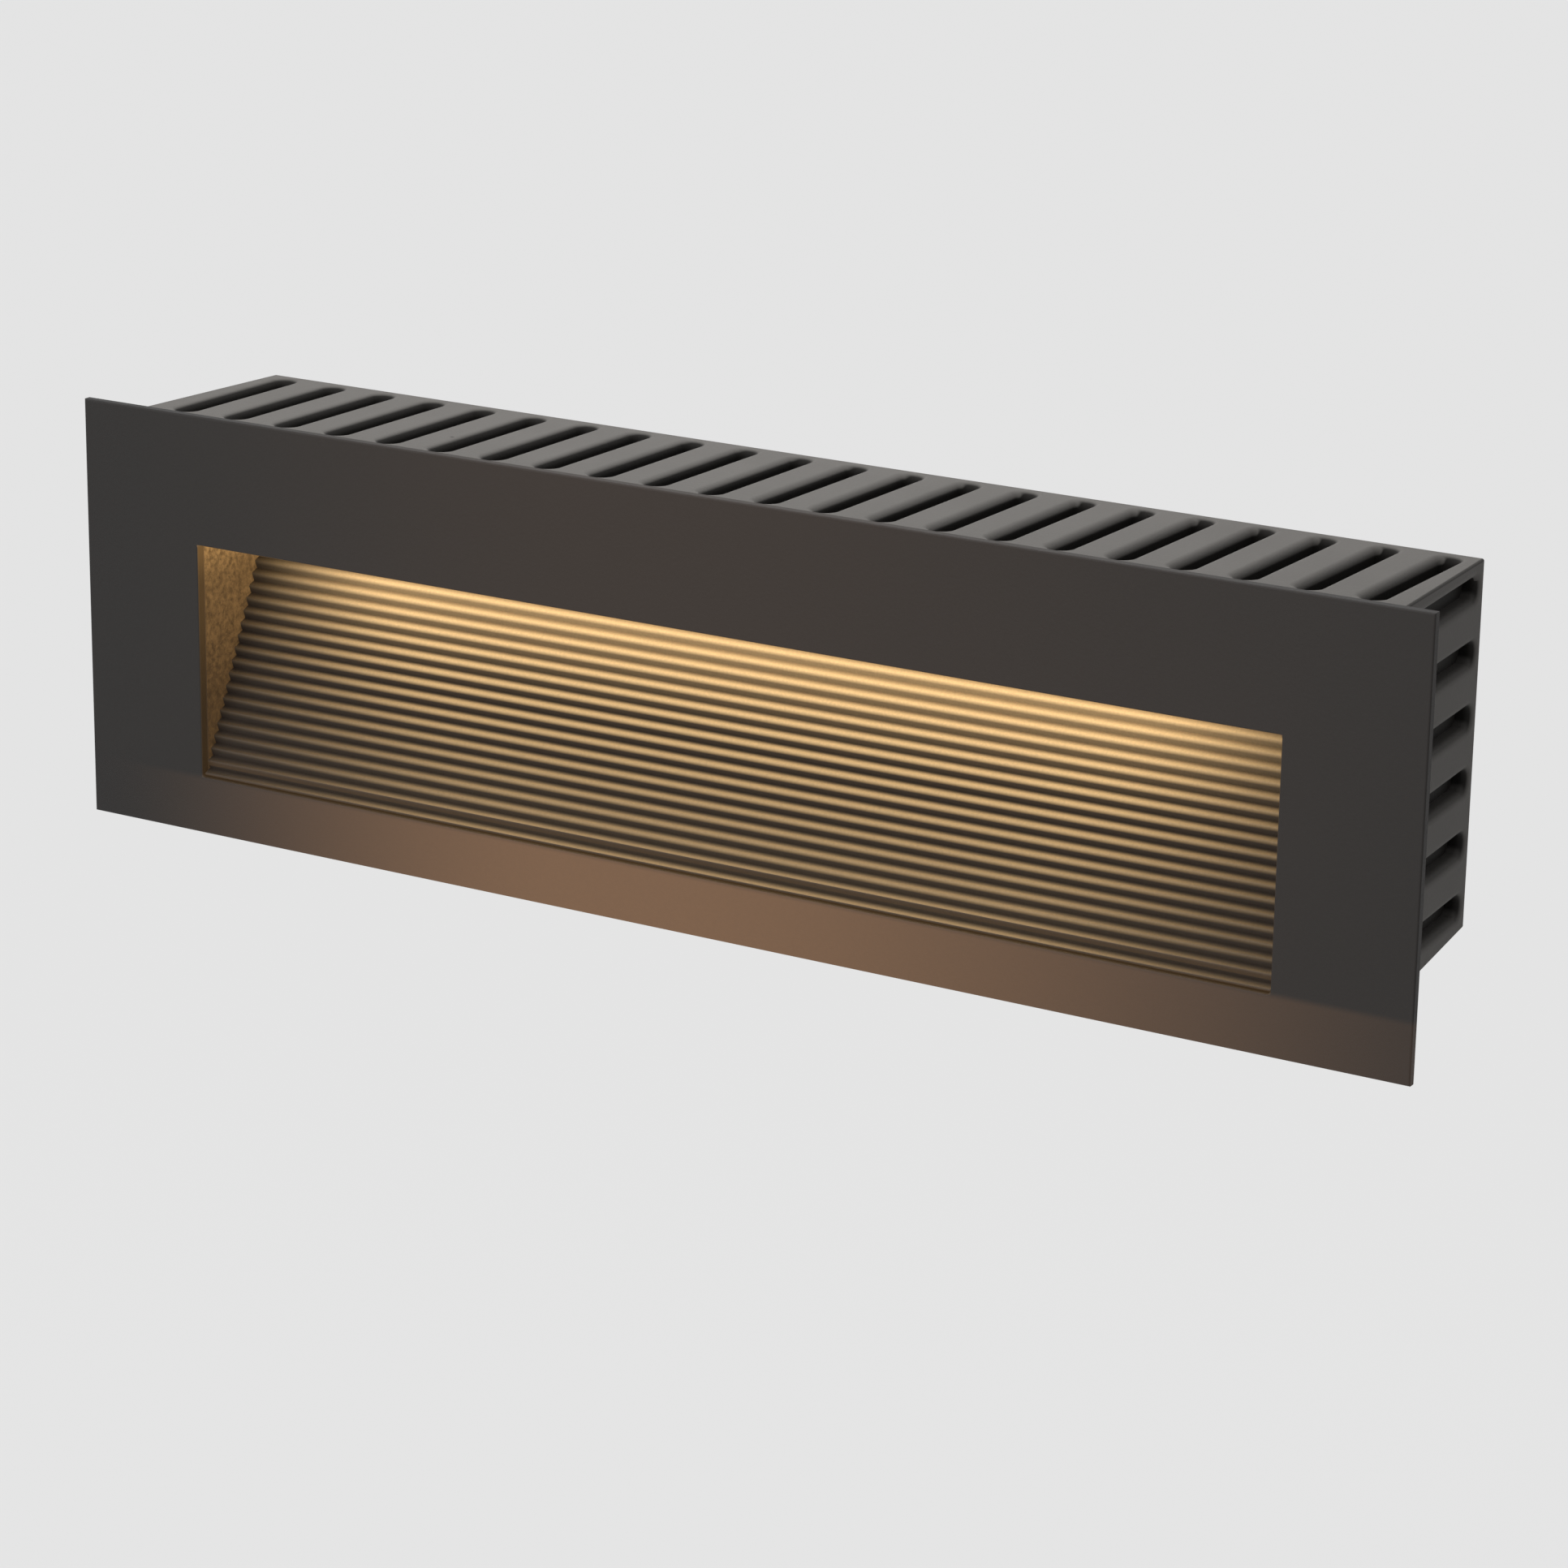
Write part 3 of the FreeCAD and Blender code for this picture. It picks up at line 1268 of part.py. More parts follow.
def make_gland():
    """Cable gland in the back wall: washer, body, rubber seal, cap and locknut."""

    def part(kind, name, deep, across, length):
        return kind(name, "y", GLAND_PLACE, deep, GLAND_LEVEL, across, length)

    washer_face = "box_back + gland_washer_thickness"
    neck_start = f"{washer_face} + gland_flange"
    inner_end = f"{CAVITY_BACK} - locknut_height - gland_thread_end"
    passage = "gland_thread - 2 * gland_wall"
    washer = cut(
        "gland_washer",
        part(rod, "gland_washer_blank", "box_back", "gland_flats", "gland_washer_thickness"),
        part(rod, "gland_washer_bore", "box_back", GLAND_HOLE, "gland_washer_thickness"),
    )
    body = cut(
        "gland_body",
        joined(
            "gland_body_blank",
            [
                part(rod, "gland_inner_thread", inner_end, "gland_thread", f"{neck_start} - ({inner_end})"),
                part(hexagon, "gland_hexagon", washer_face, "gland_flats", "gland_flange"),
                part(rod, "gland_outer_thread", neck_start, "gland_thread", "gland_neck"),
            ],
        ),
        part(rod, "gland_passage", inner_end, passage, f"{neck_start} + gland_neck - ({inner_end})"),
    )
    locknut_at = f"{CAVITY_BACK} - locknut_height"
    locknut = cut(
        "gland_locknut",
        part(hexagon, "locknut_blank", locknut_at, "gland_flats", "locknut_height"),
        part(rod, "locknut_thread", locknut_at, "gland_thread", "locknut_height"),
    )
    cap_start = f"{neck_start} + running_clearance"
    seal_length = "cap_length - cap_wall"
    seal = cut(
        "gland_seal",
        part(rod, "seal_sleeve", cap_start, f"{passage} - 2 * running_clearance", seal_length),
        part(rod, "seal_bore", cap_start, "cable_bore", seal_length),
    )
    cap = cut(
        "gland_cap",
        part(hexagon, "cap_blank", cap_start, "gland_flats", "cap_length"),
        part(
            rod,
            "cap_thread",
            cap_start,
            "gland_thread + 2 * running_clearance",
            seal_length,
        ),
        part(rod, "cap_opening", cap_start, "cable_bore + 2 * mouth_clearance", "cap_length"),
    )
    return [washer, body, locknut, seal, cap]


def check_document():
    """Stops at any object that failed to build."""
    for item in doc.Objects:
        if any(state in item.State for state in ("Invalid", "Error")):
            raise RuntimeError(f"{item.Label} failed: {item.State}")


def write_nodes(nodes):
    """Checks each sub-part's shape and writes it to its own file."""
    os.makedirs("parts", exist_ok=True)
    for node in nodes:
        shape = node.Shape
        if shape.isNull() or not shape.isValid() or not shape.Solids:
            raise RuntimeError(f"{node.Label} has no valid solid")
        shape.exportStep(f"parts/{node.Label}.step")
        print(f"{node.Label}: {len(shape.Solids)} solids, {shape.Volume:.0f} mm3")


def main():
    nodes = [make_faceplate(), make_face_gasket(), make_ribbed_tray()]
    nodes += make_stud_hardware()
    nodes += make_diffuser()
    nodes.append(make_led_carrier())
    nodes += make_light_strip()
    nodes += make_driver()
    nodes += make_terminals()
    nodes += make_inner_wires()
    nodes += make_insert_earth()
    nodes += make_grip_springs()
    nodes.append(make_back_box())
    nodes += make_earth_screw()
    nodes += make_gland()
    doc.recompute()
    check_document()
    write_nodes(nodes)


main()
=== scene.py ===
import math

import bmesh
import bpy
from mathutils import Euler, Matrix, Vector


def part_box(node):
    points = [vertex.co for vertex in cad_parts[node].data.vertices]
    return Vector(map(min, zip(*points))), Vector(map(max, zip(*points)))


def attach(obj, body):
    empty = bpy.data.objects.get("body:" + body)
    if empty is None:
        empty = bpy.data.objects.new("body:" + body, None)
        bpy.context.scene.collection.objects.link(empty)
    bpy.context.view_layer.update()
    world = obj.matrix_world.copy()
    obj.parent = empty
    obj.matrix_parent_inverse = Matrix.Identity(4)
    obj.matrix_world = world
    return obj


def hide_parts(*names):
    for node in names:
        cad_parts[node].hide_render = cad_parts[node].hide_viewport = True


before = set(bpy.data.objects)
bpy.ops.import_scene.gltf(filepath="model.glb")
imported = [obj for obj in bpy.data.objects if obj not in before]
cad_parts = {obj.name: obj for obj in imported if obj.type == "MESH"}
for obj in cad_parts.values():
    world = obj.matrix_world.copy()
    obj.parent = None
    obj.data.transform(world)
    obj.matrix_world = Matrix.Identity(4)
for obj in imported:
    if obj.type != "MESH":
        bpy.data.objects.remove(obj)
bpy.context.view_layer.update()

MM = 0.001

# Photographed view: where the camera stands, what it points at, and its slight roll.
CAMERA_PLACE = Vector((401.88, -651.55, 224.57)) * MM
CAMERA_TARGET = Vector((11.69, 3.23, -10.42)) * MM
CAMERA_ROLL = math.radians(0.861)
CAMERA_LENS = 111.713
SENSOR_WIDTH = 36.0
NEAREST_SEEN, FARTHEST_SEEN = 0.05, 60.0

# The studio, in metres. FLOOR_SHARE of the floor's look is the backdrop's own grey.
BACKDROP_GREY = 0.797
WORLD_LIGHT = 0.26
FLOOR_DROP = 0.30
FLOOR_RADIUS = 9.0
FLOOR_GREY = 0.74
FLOOR_SHARE = 0.96


def extents(node):
    """A node's lowest and highest corners, in millimetres."""
    return [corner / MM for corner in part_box(node)]


# Faces and edges that the finishes follow, in millimetres.
FLANGE_SIDE, FLANGE_BELOW = 10.3, 3.7
SHELF_AND_SEAL = 2.5
PLATE_FRONT = extents("faceplate")[0].y
PLATE_MIDDLE = -1.5
TRAY_LOW, TRAY_HIGH = extents("ribbed_tray")
BOX_LOW, BOX_HIGH = extents("back_box")
STRIP_LOW, STRIP_HIGH = extents("diffuser")
RECESS_HALF = TRAY_HIGH.x - FLANGE_SIDE
RECESS_LOW = TRAY_LOW.z + FLANGE_BELOW
RECESS_HIGH = STRIP_LOW.z - SHELF_AND_SEAL

# The slope's line of rib crests, as (y, z), and the ribs along it.
FOOT_BEHIND_PLATE, HEAD_DEPTH = 0.3, 15.5
SLOPE_FOOT = Vector((PLATE_FRONT + FOOT_BEHIND_PLATE, RECESS_LOW))
SLOPE_HEAD = Vector((HEAD_DEPTH, RECESS_HIGH))
FIRST_CREST = 0.463
RIB_COUNT = 20
RIB_RISE = 1.15

# How far the box's walls lean in from the rim to the back, and where their grooves lie.
SIDE_LEAN, TOP_LEAN, BASE_LEAN = 2.5, 0.3, 3.0
GROOVE_FRONT, GROOVE_REAR = 4.4, 2.2
GROOVE_DEPTH = 2.7

# Nuts and gland, in millimetres: radii, and the gland's hexagon along Y.
STUD_RADIUS = 1.5
GLAND_THREAD = 6.0
GLAND_PASSAGE = 4.7
GLAND_HEXAGON = (40.2, 43.2)
THREAD_PITCH = 1.5
THREAD_DEPTH = 0.55
CREST_CUT = 0.06
BORE_CHAMFER = 0.12
FACE_SHARE = 0.96
TURNED_DOWN = math.radians(30.0)
SHARP_TURN = math.radians(32.0)
TURN_STEPS = 72
DOME_STEPS = 9

# AMBER is the strip's light, also painted on the ribs; DEEP_AMBER and BORDER_AMBER are light
# painted on the end walls, window edges and border.
AMBER = (1.0, 0.65, 0.29)
DEEP_AMBER = (1.0, 0.54, 0.18)
BORDER_AMBER = (1.0, 0.51, 0.23)
BLACK = (0.0, 0.0, 0.0)


# Shader maths

class Value:
    """A socket of one material, with the arithmetic that a pattern needs."""

    def __init__(self, finish, socket):
        self.finish = finish
        self.socket = socket

    def math(self, operation, *others):
        return self.finish.node("ShaderNodeMath", {"operation": operation}, [self, *others])[0]

    def __add__(self, other):
        return self.math("ADD", other)

    def __mul__(self, other):
        return self.math("MULTIPLY", other)

    __radd__ = __add__
    __rmul__ = __mul__

    def __sub__(self, other):
        return self.math("SUBTRACT", other)

    def __rsub__(self, other):
        return (self * -1.0) + other

    def __truediv__(self, other):
        return self.math("DIVIDE", other)

    def __pow__(self, other):
        return self.math("POWER", other)

    def __abs__(self):
        return self.math("ABSOLUTE")

    def __gt__(self, other):
        return self.math("GREATER_THAN", other)

    def __lt__(self, other):
        return self.math("LESS_THAN", other)

    def least(self, other):
        return self.math("MINIMUM", other)

    def most(self, other):
        return self.math("MAXIMUM", other)

    def rise(self, low, high):
        """0 at low, 1 at high, with a smooth rise between; high may be under low."""
        settings = {"interpolation_type": "SMOOTHSTEP"}
        values = {"Value": self, "From Min": low, "From Max": high}
        return self.finish.node("ShaderNodeMapRange", settings, values)[0]


class Finish:
    """One material: a Principled shader and the nodes that feed it."""

    def __init__(self, name, **plain):
        self.material = bpy.data.materials.new(name)
        self.material.use_nodes = True
        self.tree = self.material.node_tree
        self.shader = self.tree.nodes["Principled BSDF"]
        self.set(**plain)

    def node(self, kind, settings=None, values=()):
        """Adds a node, sets it up, and gives its outputs. values go by socket name or place."""
        node = self.tree.nodes.new(kind)
        for name, setting in (settings or {}).items():
            setattr(node, name, setting)
        pairs = values.items() if isinstance(values, dict) else enumerate(values)
        for key, value in pairs:
            self.feed(node.inputs[key], value)
        return [Value(self, output) for output in node.outputs if output.enabled]

    def feed(self, socket, value):
        """Links a value to a socket, or sets the socket to a number or a colour."""
        if isinstance(value, Value):
            self.tree.links.new(value.socket, socket)
        elif isinstance(value, tuple) and socket.type == "RGBA":
            socket.default_value = (*value, 1.0)[:4]
        else:
            socket.default_value = value

    def set(self, **sockets):
        """Feeds the shader's sockets; base_color stands for Base Color."""
        for name, value in sockets.items():
            words = [word.upper() if word == "ior" else word.title() for word in name.split("_")]
            self.feed(self.shader.inputs[" ".join(words)], value)
        return self

    def place(self):
        """The point on the piece, in millimetres, and its three parts."""
        coords = self.node("ShaderNodeTexCoord")[3]
        point = self.node(
            "ShaderNodeVectorMath", {"operation": "SCALE"}, {"Vector": coords, "Scale": 1 / MM}
        )[0]
        return (point, *self.node("ShaderNodeSeparateXYZ", None, [point]))

    def facing(self):
        """The three parts of the surface's direction."""
        normal = self.node("ShaderNodeNewGeometry")[1]
        return self.node("ShaderNodeSeparateXYZ", None, [normal])

    def noise(self, point, grain, detail=2.0, rough=0.5):
        """Noise from about 0 to 1 whose features are about one grain wide."""
        values = {"Vector": point, "Scale": 1.0 / grain, "Detail": detail, "Roughness": rough}
        return self.node("ShaderNodeTexNoise", None, values)[0]

    def specks(self, point, spacing, radius, share):
        """Rare round dots: a share of the cells of a grid with this spacing holds one."""
        values = {"Vector": point, "Scale": 1.0 / spacing}
        distance, colour = self.node("ShaderNodeTexVoronoi", {"feature": "F1"}, values)[:2]
        chosen = self.node("ShaderNodeSeparateColor", None, [colour])[0] < share
        return distance.rise(radius / spacing, 0.4 * radius / spacing) * chosen

    def mix(self, factor, first, second):
        """The first colour where the factor is 0, and the second where it is 1."""
        values = {0: factor, 6: first, 7: second}
        return self.node("ShaderNodeMix", {"data_type": "RGBA"}, values)[0]

    def tint(self, colour, factor):
        """A colour that is brighter or darker by a factor that varies."""
        return self.mix(factor, BLACK, colour)

    def bump(self, height, distance):
        """Raises the surface by a height from 0 to 1 times a distance in millimetres."""
        values = {"Height": height, "Distance": distance * MM, "Strength": 1.0}
        return self.set(normal=self.node("ShaderNodeBump", None, values)[0])


def wear(*nodes, finish):
    """Gives CAD nodes a finish."""
    for name in nodes:
        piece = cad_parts[name]
        piece.data.materials.clear()
        piece.data.materials.append(finish.material)


# Finishes of what shows

def painted_spill(z):
    """How bright the light painted on the recess's end walls is at a height."""
    middle = z.rise(-18.0, 12.0) * 0.075
    head = z.rise(7.0, RECESS_HIGH) * 0.115
    return 0.045 + middle + head


def plate_paint():
    """Satin charcoal powder coat, with painted shade on its edges and painted light: a warm glow
    on the border under the window.
    """
    finish = Finish("plate_paint", metallic=0.0, specular_ior_level=0.2)
    point, x, y, z = finish.place()
    _, back, _ = finish.facing()
    cloud = finish.noise(point, grain=60.0, detail=3.0)
    grain = finish.noise(point, grain=0.55, detail=3.0, rough=0.6)
    # Painted shade: faces that look neither front nor back, the plate's edges, are darkened
    # towards black.
    edge = abs(back).rise(0.9, 0.5) * 0.55
    dust = finish.specks(point, spacing=34.0, radius=0.45, share=0.45) * 0.8
    colour = finish.mix(cloud, (0.030, 0.029, 0.028), (0.040, 0.036, 0.034))
    colour = finish.mix(edge, colour, (0.004, 0.004, 0.004))
    colour = finish.mix(dust, colour, (0.20, 0.19, 0.17))
    finish.set(base_color=colour, roughness=0.48 + grain * 0.12 + cloud * 0.06)

    # Painted light: the window's edges glow as the end walls do, and the border glows most under
    # its middle.
    lap = 0.3
    inside = (abs(x) < RECESS_HALF + lap) * (z > RECESS_LOW - lap) * (z < RECESS_HIGH + lap)
    across = x.rise(-127.0, -25.0) * x.rise(165.0, -10.0)
    sill = z.rise(RECESS_LOW + 0.2, RECESS_LOW - 0.1) * 0.02
    below = z.rise(RECESS_LOW + 0.5, RECESS_LOW - 1.0)
    border = across * (below * 0.150 + 0.016) * (y < PLATE_MIDDLE)
    level = inside * (painted_spill(z) * 0.66 + sill * across) + (1.0 - inside) * border
    glow = finish.mix(inside, BORDER_AMBER, DEEP_AMBER)
    finish.set(
        emission_color=finish.tint(glow, level * (0.93 + grain * 0.14)), emission_strength=1.0
    )
    return finish.bump(grain, 0.04)


def box_paint():
    """Matt grey paint on a casting, with painted shade in the depth of the grooves and along the
    top's arrises.
    """
    finish = Finish("box_paint", metallic=0.0, specular_ior_level=0.10)
    point, x, y, z = finish.place()
    across, _, upward = finish.facing()
    cloud = finish.noise(point, grain=18.0, detail=4.0)
    grain = finish.noise(point, grain=0.5, detail=3.0, rough=0.65)
    colour = finish.mix(cloud, (0.124, 0.118, 0.110), (0.154, 0.146, 0.137))

    # How far a point lies under the outside of the wall that it is nearest to.
    back = (y - BOX_LOW.y) / (BOX_HIGH.y - BOX_LOW.y)
    beside = BOX_HIGH.x - back * SIDE_LEAN - abs(x)
    over = BOX_HIGH.z - back * TOP_LEAN - z
    under = z - BOX_LOW.z - back * BASE_LEAN
    depth = beside.least(over).least(under)
    margin = 1.0
    in_run = (y > BOX_LOW.y + GROOVE_FRONT - margin) * (y < BOX_HIGH.y - GROOVE_REAR + margin)

    # Painted shade darkens the grooves with depth. It is lifted where light would reach: the
    # lower walls of the side grooves, and the walls of the top grooves that face right, those
    # more towards the box's right end.
    on_side = over > GROOVE_DEPTH + 0.5
    lower_wall = upward.rise(0.30, 0.85) * on_side * 0.7
    left_wall = across.rise(0.25, 0.80) * x.rise(-80.0, 110.0) * (1.0 - on_side)
    dark = (depth - left_wall).rise(0.05, 0.50) * (1.0 - lower_wall)
    groove_shade = dark * (depth < GROOVE_DEPTH + 0.8) * in_run
    # Painted shade: a thin dark line along the arrises between the top and the sides.
    arris_shade = beside.most(over).rise(0.50, 0.28) * 0.6
    pits = finish.specks(point, spacing=17.0, radius=0.6, share=0.35) * 0.8
    colour = finish.mix(groove_shade.most(arris_shade) * 0.93, colour, (0.008, 0.007, 0.006))
    colour = finish.mix(pits, colour, (0.01, 0.01, 0.01))
    finish.set(base_color=colour, roughness=0.55 + grain * 0.15)
    return finish.bump(grain, 0.05)


def tray_paint():
    """Dark cast bronze, lit from the slot above by the strip and mostly by painted light: bright
    rib crests, dim valleys and end walls.
    """
    finish = Finish("tray_paint", metallic=0.0, specular_ior_level=0.3)
    point, x, y, z = finish.place()
    across, back, upward = finish.facing()
    sand = finish.noise(point, grain=0.42, detail=4.0, rough=0.7)
    cloud = finish.noise(point, grain=5.0, detail=3.0)
    colour = finish.mix(sand * 0.7 + cloud * 0.3, (0.028, 0.021, 0.017), (0.062, 0.046, 0.034))
    finish.set(base_color=colour, roughness=0.45 + sand * 0.2)

    # Where a point lies: along the slope, under its line of crests, and how high in the recess.
    run = (SLOPE_HEAD - SLOPE_FOOT).normalized()
    along = (y - SLOPE_FOOT.x) * run.x + (z - SLOPE_FOOT.y) * run.y
    depth = (y - SLOPE_FOOT.x) * run.y - (z - SLOPE_FOOT.y) * run.x
    height = (z - RECESS_LOW) / (RECESS_HIGH - RECESS_LOW)

    # The slope's painted light is brightest at its head, and dims to both ends, further in at its
    # foot.
    level = 0.28 + height.rise(0.05, 1.02) * 0.68
    from_left = x.rise(height * 8.0 - 114.0, height * -44.0 - 34.0)
    to_right = 1.0 - x.rise(height * 20.0 + 50.0, 108.0) * 0.78

    # Painted light: each rib is bright on its crest and on the side that looks up, and dark in
    # its valley.
    ledge = upward.rise(-0.37, 0.5)
    near_head = ((z + 8.0) / 22.4).most(0.0) ** 1.9 * 0.60
    valley = near_head + z.rise(-14.0, RECESS_LOW) * 0.04 + 0.01
    crest = ledge * depth.rise(1.10, 0.12) + (1.0 - ledge) * depth.rise(0.66, 0.12) * 0.75
    flank = valley + (1.0 - valley) * crest

    # A painted bright line follows the ribs' zigzag down the end walls.
    pitch = (SLOPE_HEAD - SLOPE_FOOT).length / RIB_COUNT
    turn = ((along - FIRST_CREST) / pitch).math("FRACT")
    saw = RIB_RISE - abs(turn * 2.0 - 1.0) * RIB_RISE
    zigzag_highlight = (saw - depth).rise(-1.50, -0.70)

    # Painted light on the ribs, on the end walls and on the step faces at the front.
    on_slope = (depth < RIB_RISE + 0.2) * (depth > -0.2) * (abs(x) < RECESS_HALF + 0.1)
    wall = abs(across).rise(0.6, 0.9) * (y < HEAD_DEPTH + 2.0) * (abs(x) < RECESS_HALF + 0.2)
    step = (back < -0.9) * (y < -1.2)
    mottle = finish.noise(point, grain=1.1, detail=4.0, rough=0.75).rise(0.30, 0.70)
    rib = flank * level * from_left * to_right * on_slope * (1.0 - wall)
    end = painted_spill(z) * (wall * (1.0 + zigzag_highlight * 0.95) * (0.28 + mottle * 0.60)).most(step * 0.7)
    grain = 0.72 + sand * 0.56
    finish.set(
        emission_color=finish.mix(
            wall.most(step), finish.tint(AMBER, rib * grain), finish.tint(DEEP_AMBER, end * grain)
        ),
        emission_strength=1.0,
    )
    return finish.bump(sand, 0.05)


def frosted_light():
    """Frosted strip that glows, and less at its ends."""
    finish = Finish("frosted_light", roughness=0.6, base_color=(0.85, 0.82, 0.74))
    x = finish.place()[1]
    middle = abs(x).rise(STRIP_HIGH.x - 1.0, STRIP_HIGH.x - 19.0)
    finish.set(emission_color=finish.tint(AMBER, middle * 0.92 + 0.08), emission_strength=9.0)
    return finish


def plain(name, colour, roughness, metallic=0.0, grain=0.6, depth=0.03):
    """A finish whose colour and roughness vary a little, with a fine grain."""
    finish = Finish(name, metallic=metallic)
    point = finish.place()[0]
    cloud = finish.noise(point, grain=6.0, detail=3.0)
    fine = finish.noise(point, grain)
    dark = tuple(part * 0.75 for part in colour)
    finish.set(base_color=finish.mix(cloud, dark, colour), roughness=roughness + fine * 0.12)
    return finish.bump(fine, depth)


# View and studio

def camera():
    """The photograph's view."""
    data = bpy.data.cameras.new("photo_view")
    data.lens = CAMERA_LENS
    data.sensor_fit = "HORIZONTAL"
    data.sensor_width = SENSOR_WIDTH
    data.clip_start = NEAREST_SEEN
    data.clip_end = FARTHEST_SEEN
    view = bpy.data.objects.new("photo_view", data)
    ahead = (CAMERA_TARGET - CAMERA_PLACE).normalized()
    view.location = CAMERA_PLACE
    turn = ahead.to_track_quat("-Z", "Y") @ Euler((0.0, 0.0, CAMERA_ROLL)).to_quaternion()
    view.rotation_euler = turn.to_euler()
    bpy.context.scene.collection.objects.link(view)
    bpy.context.scene.camera = view


def softbox(name, place, target, size, power):
    """A rectangular white studio light that faces a target."""
    data = bpy.data.lights.new(name, "AREA")
    data.shape = "RECTANGLE"
    data.size, data.size_y = size
    data.energy = power
    light = bpy.data.objects.new(name, data)
    light.location = place
    light.rotation_euler = (Vector(target) - Vector(place)).to_track_quat("-Z", "Y").to_euler()
    bpy.context.scene.collection.objects.link(light)


def seen_directly(tree):
    """1 for what the camera sees directly, in a mirror or through glass, and 0 for lighting."""
    path = tree.nodes.new("ShaderNodeLightPath")
    total = path.outputs["Is Camera Ray"]
    for name in ("Is Glossy Ray", "Is Transmission Ray"):
        most = tree.nodes.new("ShaderNodeMath")
        most.operation = "MAXIMUM"
        tree.links.new(total, most.inputs[0])
        tree.links.new(path.outputs[name], most.inputs[1])
        total = most.outputs[0]
    return total


def pale_floor():
    """A round floor that looks as pale as the surroundings and still keeps a shadow."""
    shape = bmesh.new()
    bmesh.ops.create_circle(shape, cap_ends=True, segments=96, radius=FLOOR_RADIUS)
    bmesh.ops.translate(shape, verts=shape.verts, vec=(0.0, 0.0, -FLOOR_DROP))
    mesh = bpy.data.meshes.new("floor")
    shape.to_mesh(mesh)
    shape.free()
    floor = bpy.data.objects.new("floor", mesh)
    bpy.context.scene.collection.objects.link(floor)
    finish = Finish("pale_floor", base_color=(FLOOR_GREY, FLOOR_GREY, FLOOR_GREY), roughness=0.9)
    tree = finish.tree
    glow = tree.nodes.new("ShaderNodeEmission")
    glow.inputs["Color"].default_value = (BACKDROP_GREY, BACKDROP_GREY, BACKDROP_GREY, 1.0)
    blend = tree.nodes.new("ShaderNodeMixShader")
    share = tree.nodes.new("ShaderNodeMath")
    share.operation = "MULTIPLY"
    share.inputs[1].default_value = FLOOR_SHARE
    tree.links.new(seen_directly(tree), share.inputs[0])
    tree.links.new(share.outputs[0], blend.inputs[0])
    tree.links.new(finish.shader.outputs[0], blend.inputs[1])
    tree.links.new(glow.outputs[0], blend.inputs[2])
    tree.links.new(blend.outputs[0], tree.nodes["Material Output"].inputs["Surface"])
    mesh.materials.append(finish.material)


def studio():
    """Pale floor far below the object, pale surroundings and two soft lights."""
    scene = bpy.context.scene
    scene.view_settings.view_transform = "Standard"
    world = bpy.data.worlds.new("studio")
    world.use_nodes = True
    scene.world = world
    tree = world.node_tree
    background = tree.nodes["Background"]
    background.inputs["Color"].default_value = (1.0, 1.0, 1.0, 1.0)
    strength = tree.nodes.new("ShaderNodeMapRange")
    strength.inputs["To Min"].default_value = WORLD_LIGHT
    strength.inputs["To Max"].default_value = BACKDROP_GREY
    tree.links.new(seen_directly(tree), strength.inputs["Value"])
    tree.links.new(strength.outputs[0], background.inputs["Strength"])
    pale_floor()
    softbox(
        "top_softbox", place=(-0.08, 0.10, 0.38), target=(0.0, 0.02, 0.03),
        size=(0.36, 0.30), power=1.4,
    )
    softbox(
        "front_softbox", place=(-0.2, -1.1, 0.45), target=(0.0, 0.0, 0.0),
        size=(1.0, 0.8), power=6.3,
    )


# Turned pieces with flats, in place of plain CAD prisms

def turned(profile, across, level):
    """A solid turned about a line along Y; profile is a closed line of (radius, y)."""
    shape = bmesh.new()
    line = [shape.verts.new((across + radius, depth, level)) for radius, depth in profile]
    edges = [shape.edges.new((line[number - 1], line[number])) for number in range(len(line))]
    bmesh.ops.spin(
        shape, geom=line + edges, cent=(across, 0.0, level), axis=(0.0, 1.0, 0.0),
        dvec=(0.0, 0.0, 0.0), angle=math.tau, steps=TURN_STEPS, use_merge=True,
    )
    bmesh.ops.recalc_face_normals(shape, faces=shape.faces)
    return shape


def cut_flats(shape, across, level, flat, first_turn):
    """Cuts the six flats of a hexagon off a turned solid, at a radius of flat."""
    for number in range(6):
        turn = first_turn + number * math.tau / 6
        outward = Vector((math.cos(turn), 0.0, math.sin(turn)))
        bmesh.ops.bisect_plane(
            shape, geom=shape.verts[:] + shape.edges[:] + shape.faces[:], dist=1e-4,
            plane_co=Vector((across, 0.0, level)) + outward * flat,
            plane_no=outward, clear_outer=True,
        )
        rim = [edge for edge in shape.edges if edge.is_boundary]
        bmesh.ops.holes_fill(shape, edges=rim, sides=0)


def radii(low, high):
    """Radii over the corners and over the flats of the hexagon that fills a box."""
    reach = high - low
    return max(reach.x, reach.z) / 2, min(reach.x, reach.z) / 2


def hexagonal(low, high, profile):
    """Turns a profile at the middle of a hexagon's box and cuts its flats as the box lies."""
    middle, reach = (low + high) / 2, high - low
    first_turn = math.tau / 12 if reach.x > reach.z else 0.0
    shape = turned(profile, middle.x, middle.z)
    cut_flats(shape, middle.x, middle.z, radii(low, high)[1], first_turn)
    return shape


def turned_down(corner, flat):
    """Radius of a hexagon's end face, and how far its corners fall away from that face."""
    face = flat * FACE_SHARE
    return face, (corner - face) * math.tan(TURNED_DOWN)


def nut(low, high, bore):
    """A nut that fills a box, with its corners turned down at both ends."""
    corner, flat = radii(low, high)
    face, fall = turned_down(corner, flat)
    start, end = low.y, high.y
    profile = [
        (bore, start + BORE_CHAMFER), (bore + BORE_CHAMFER, start), (face, start),
        (corner, start + fall), (corner, end - fall),
        (face, end), (bore + BORE_CHAMFER, end), (bore, end - BORE_CHAMFER),
    ]
    return hexagonal(low, high, profile)


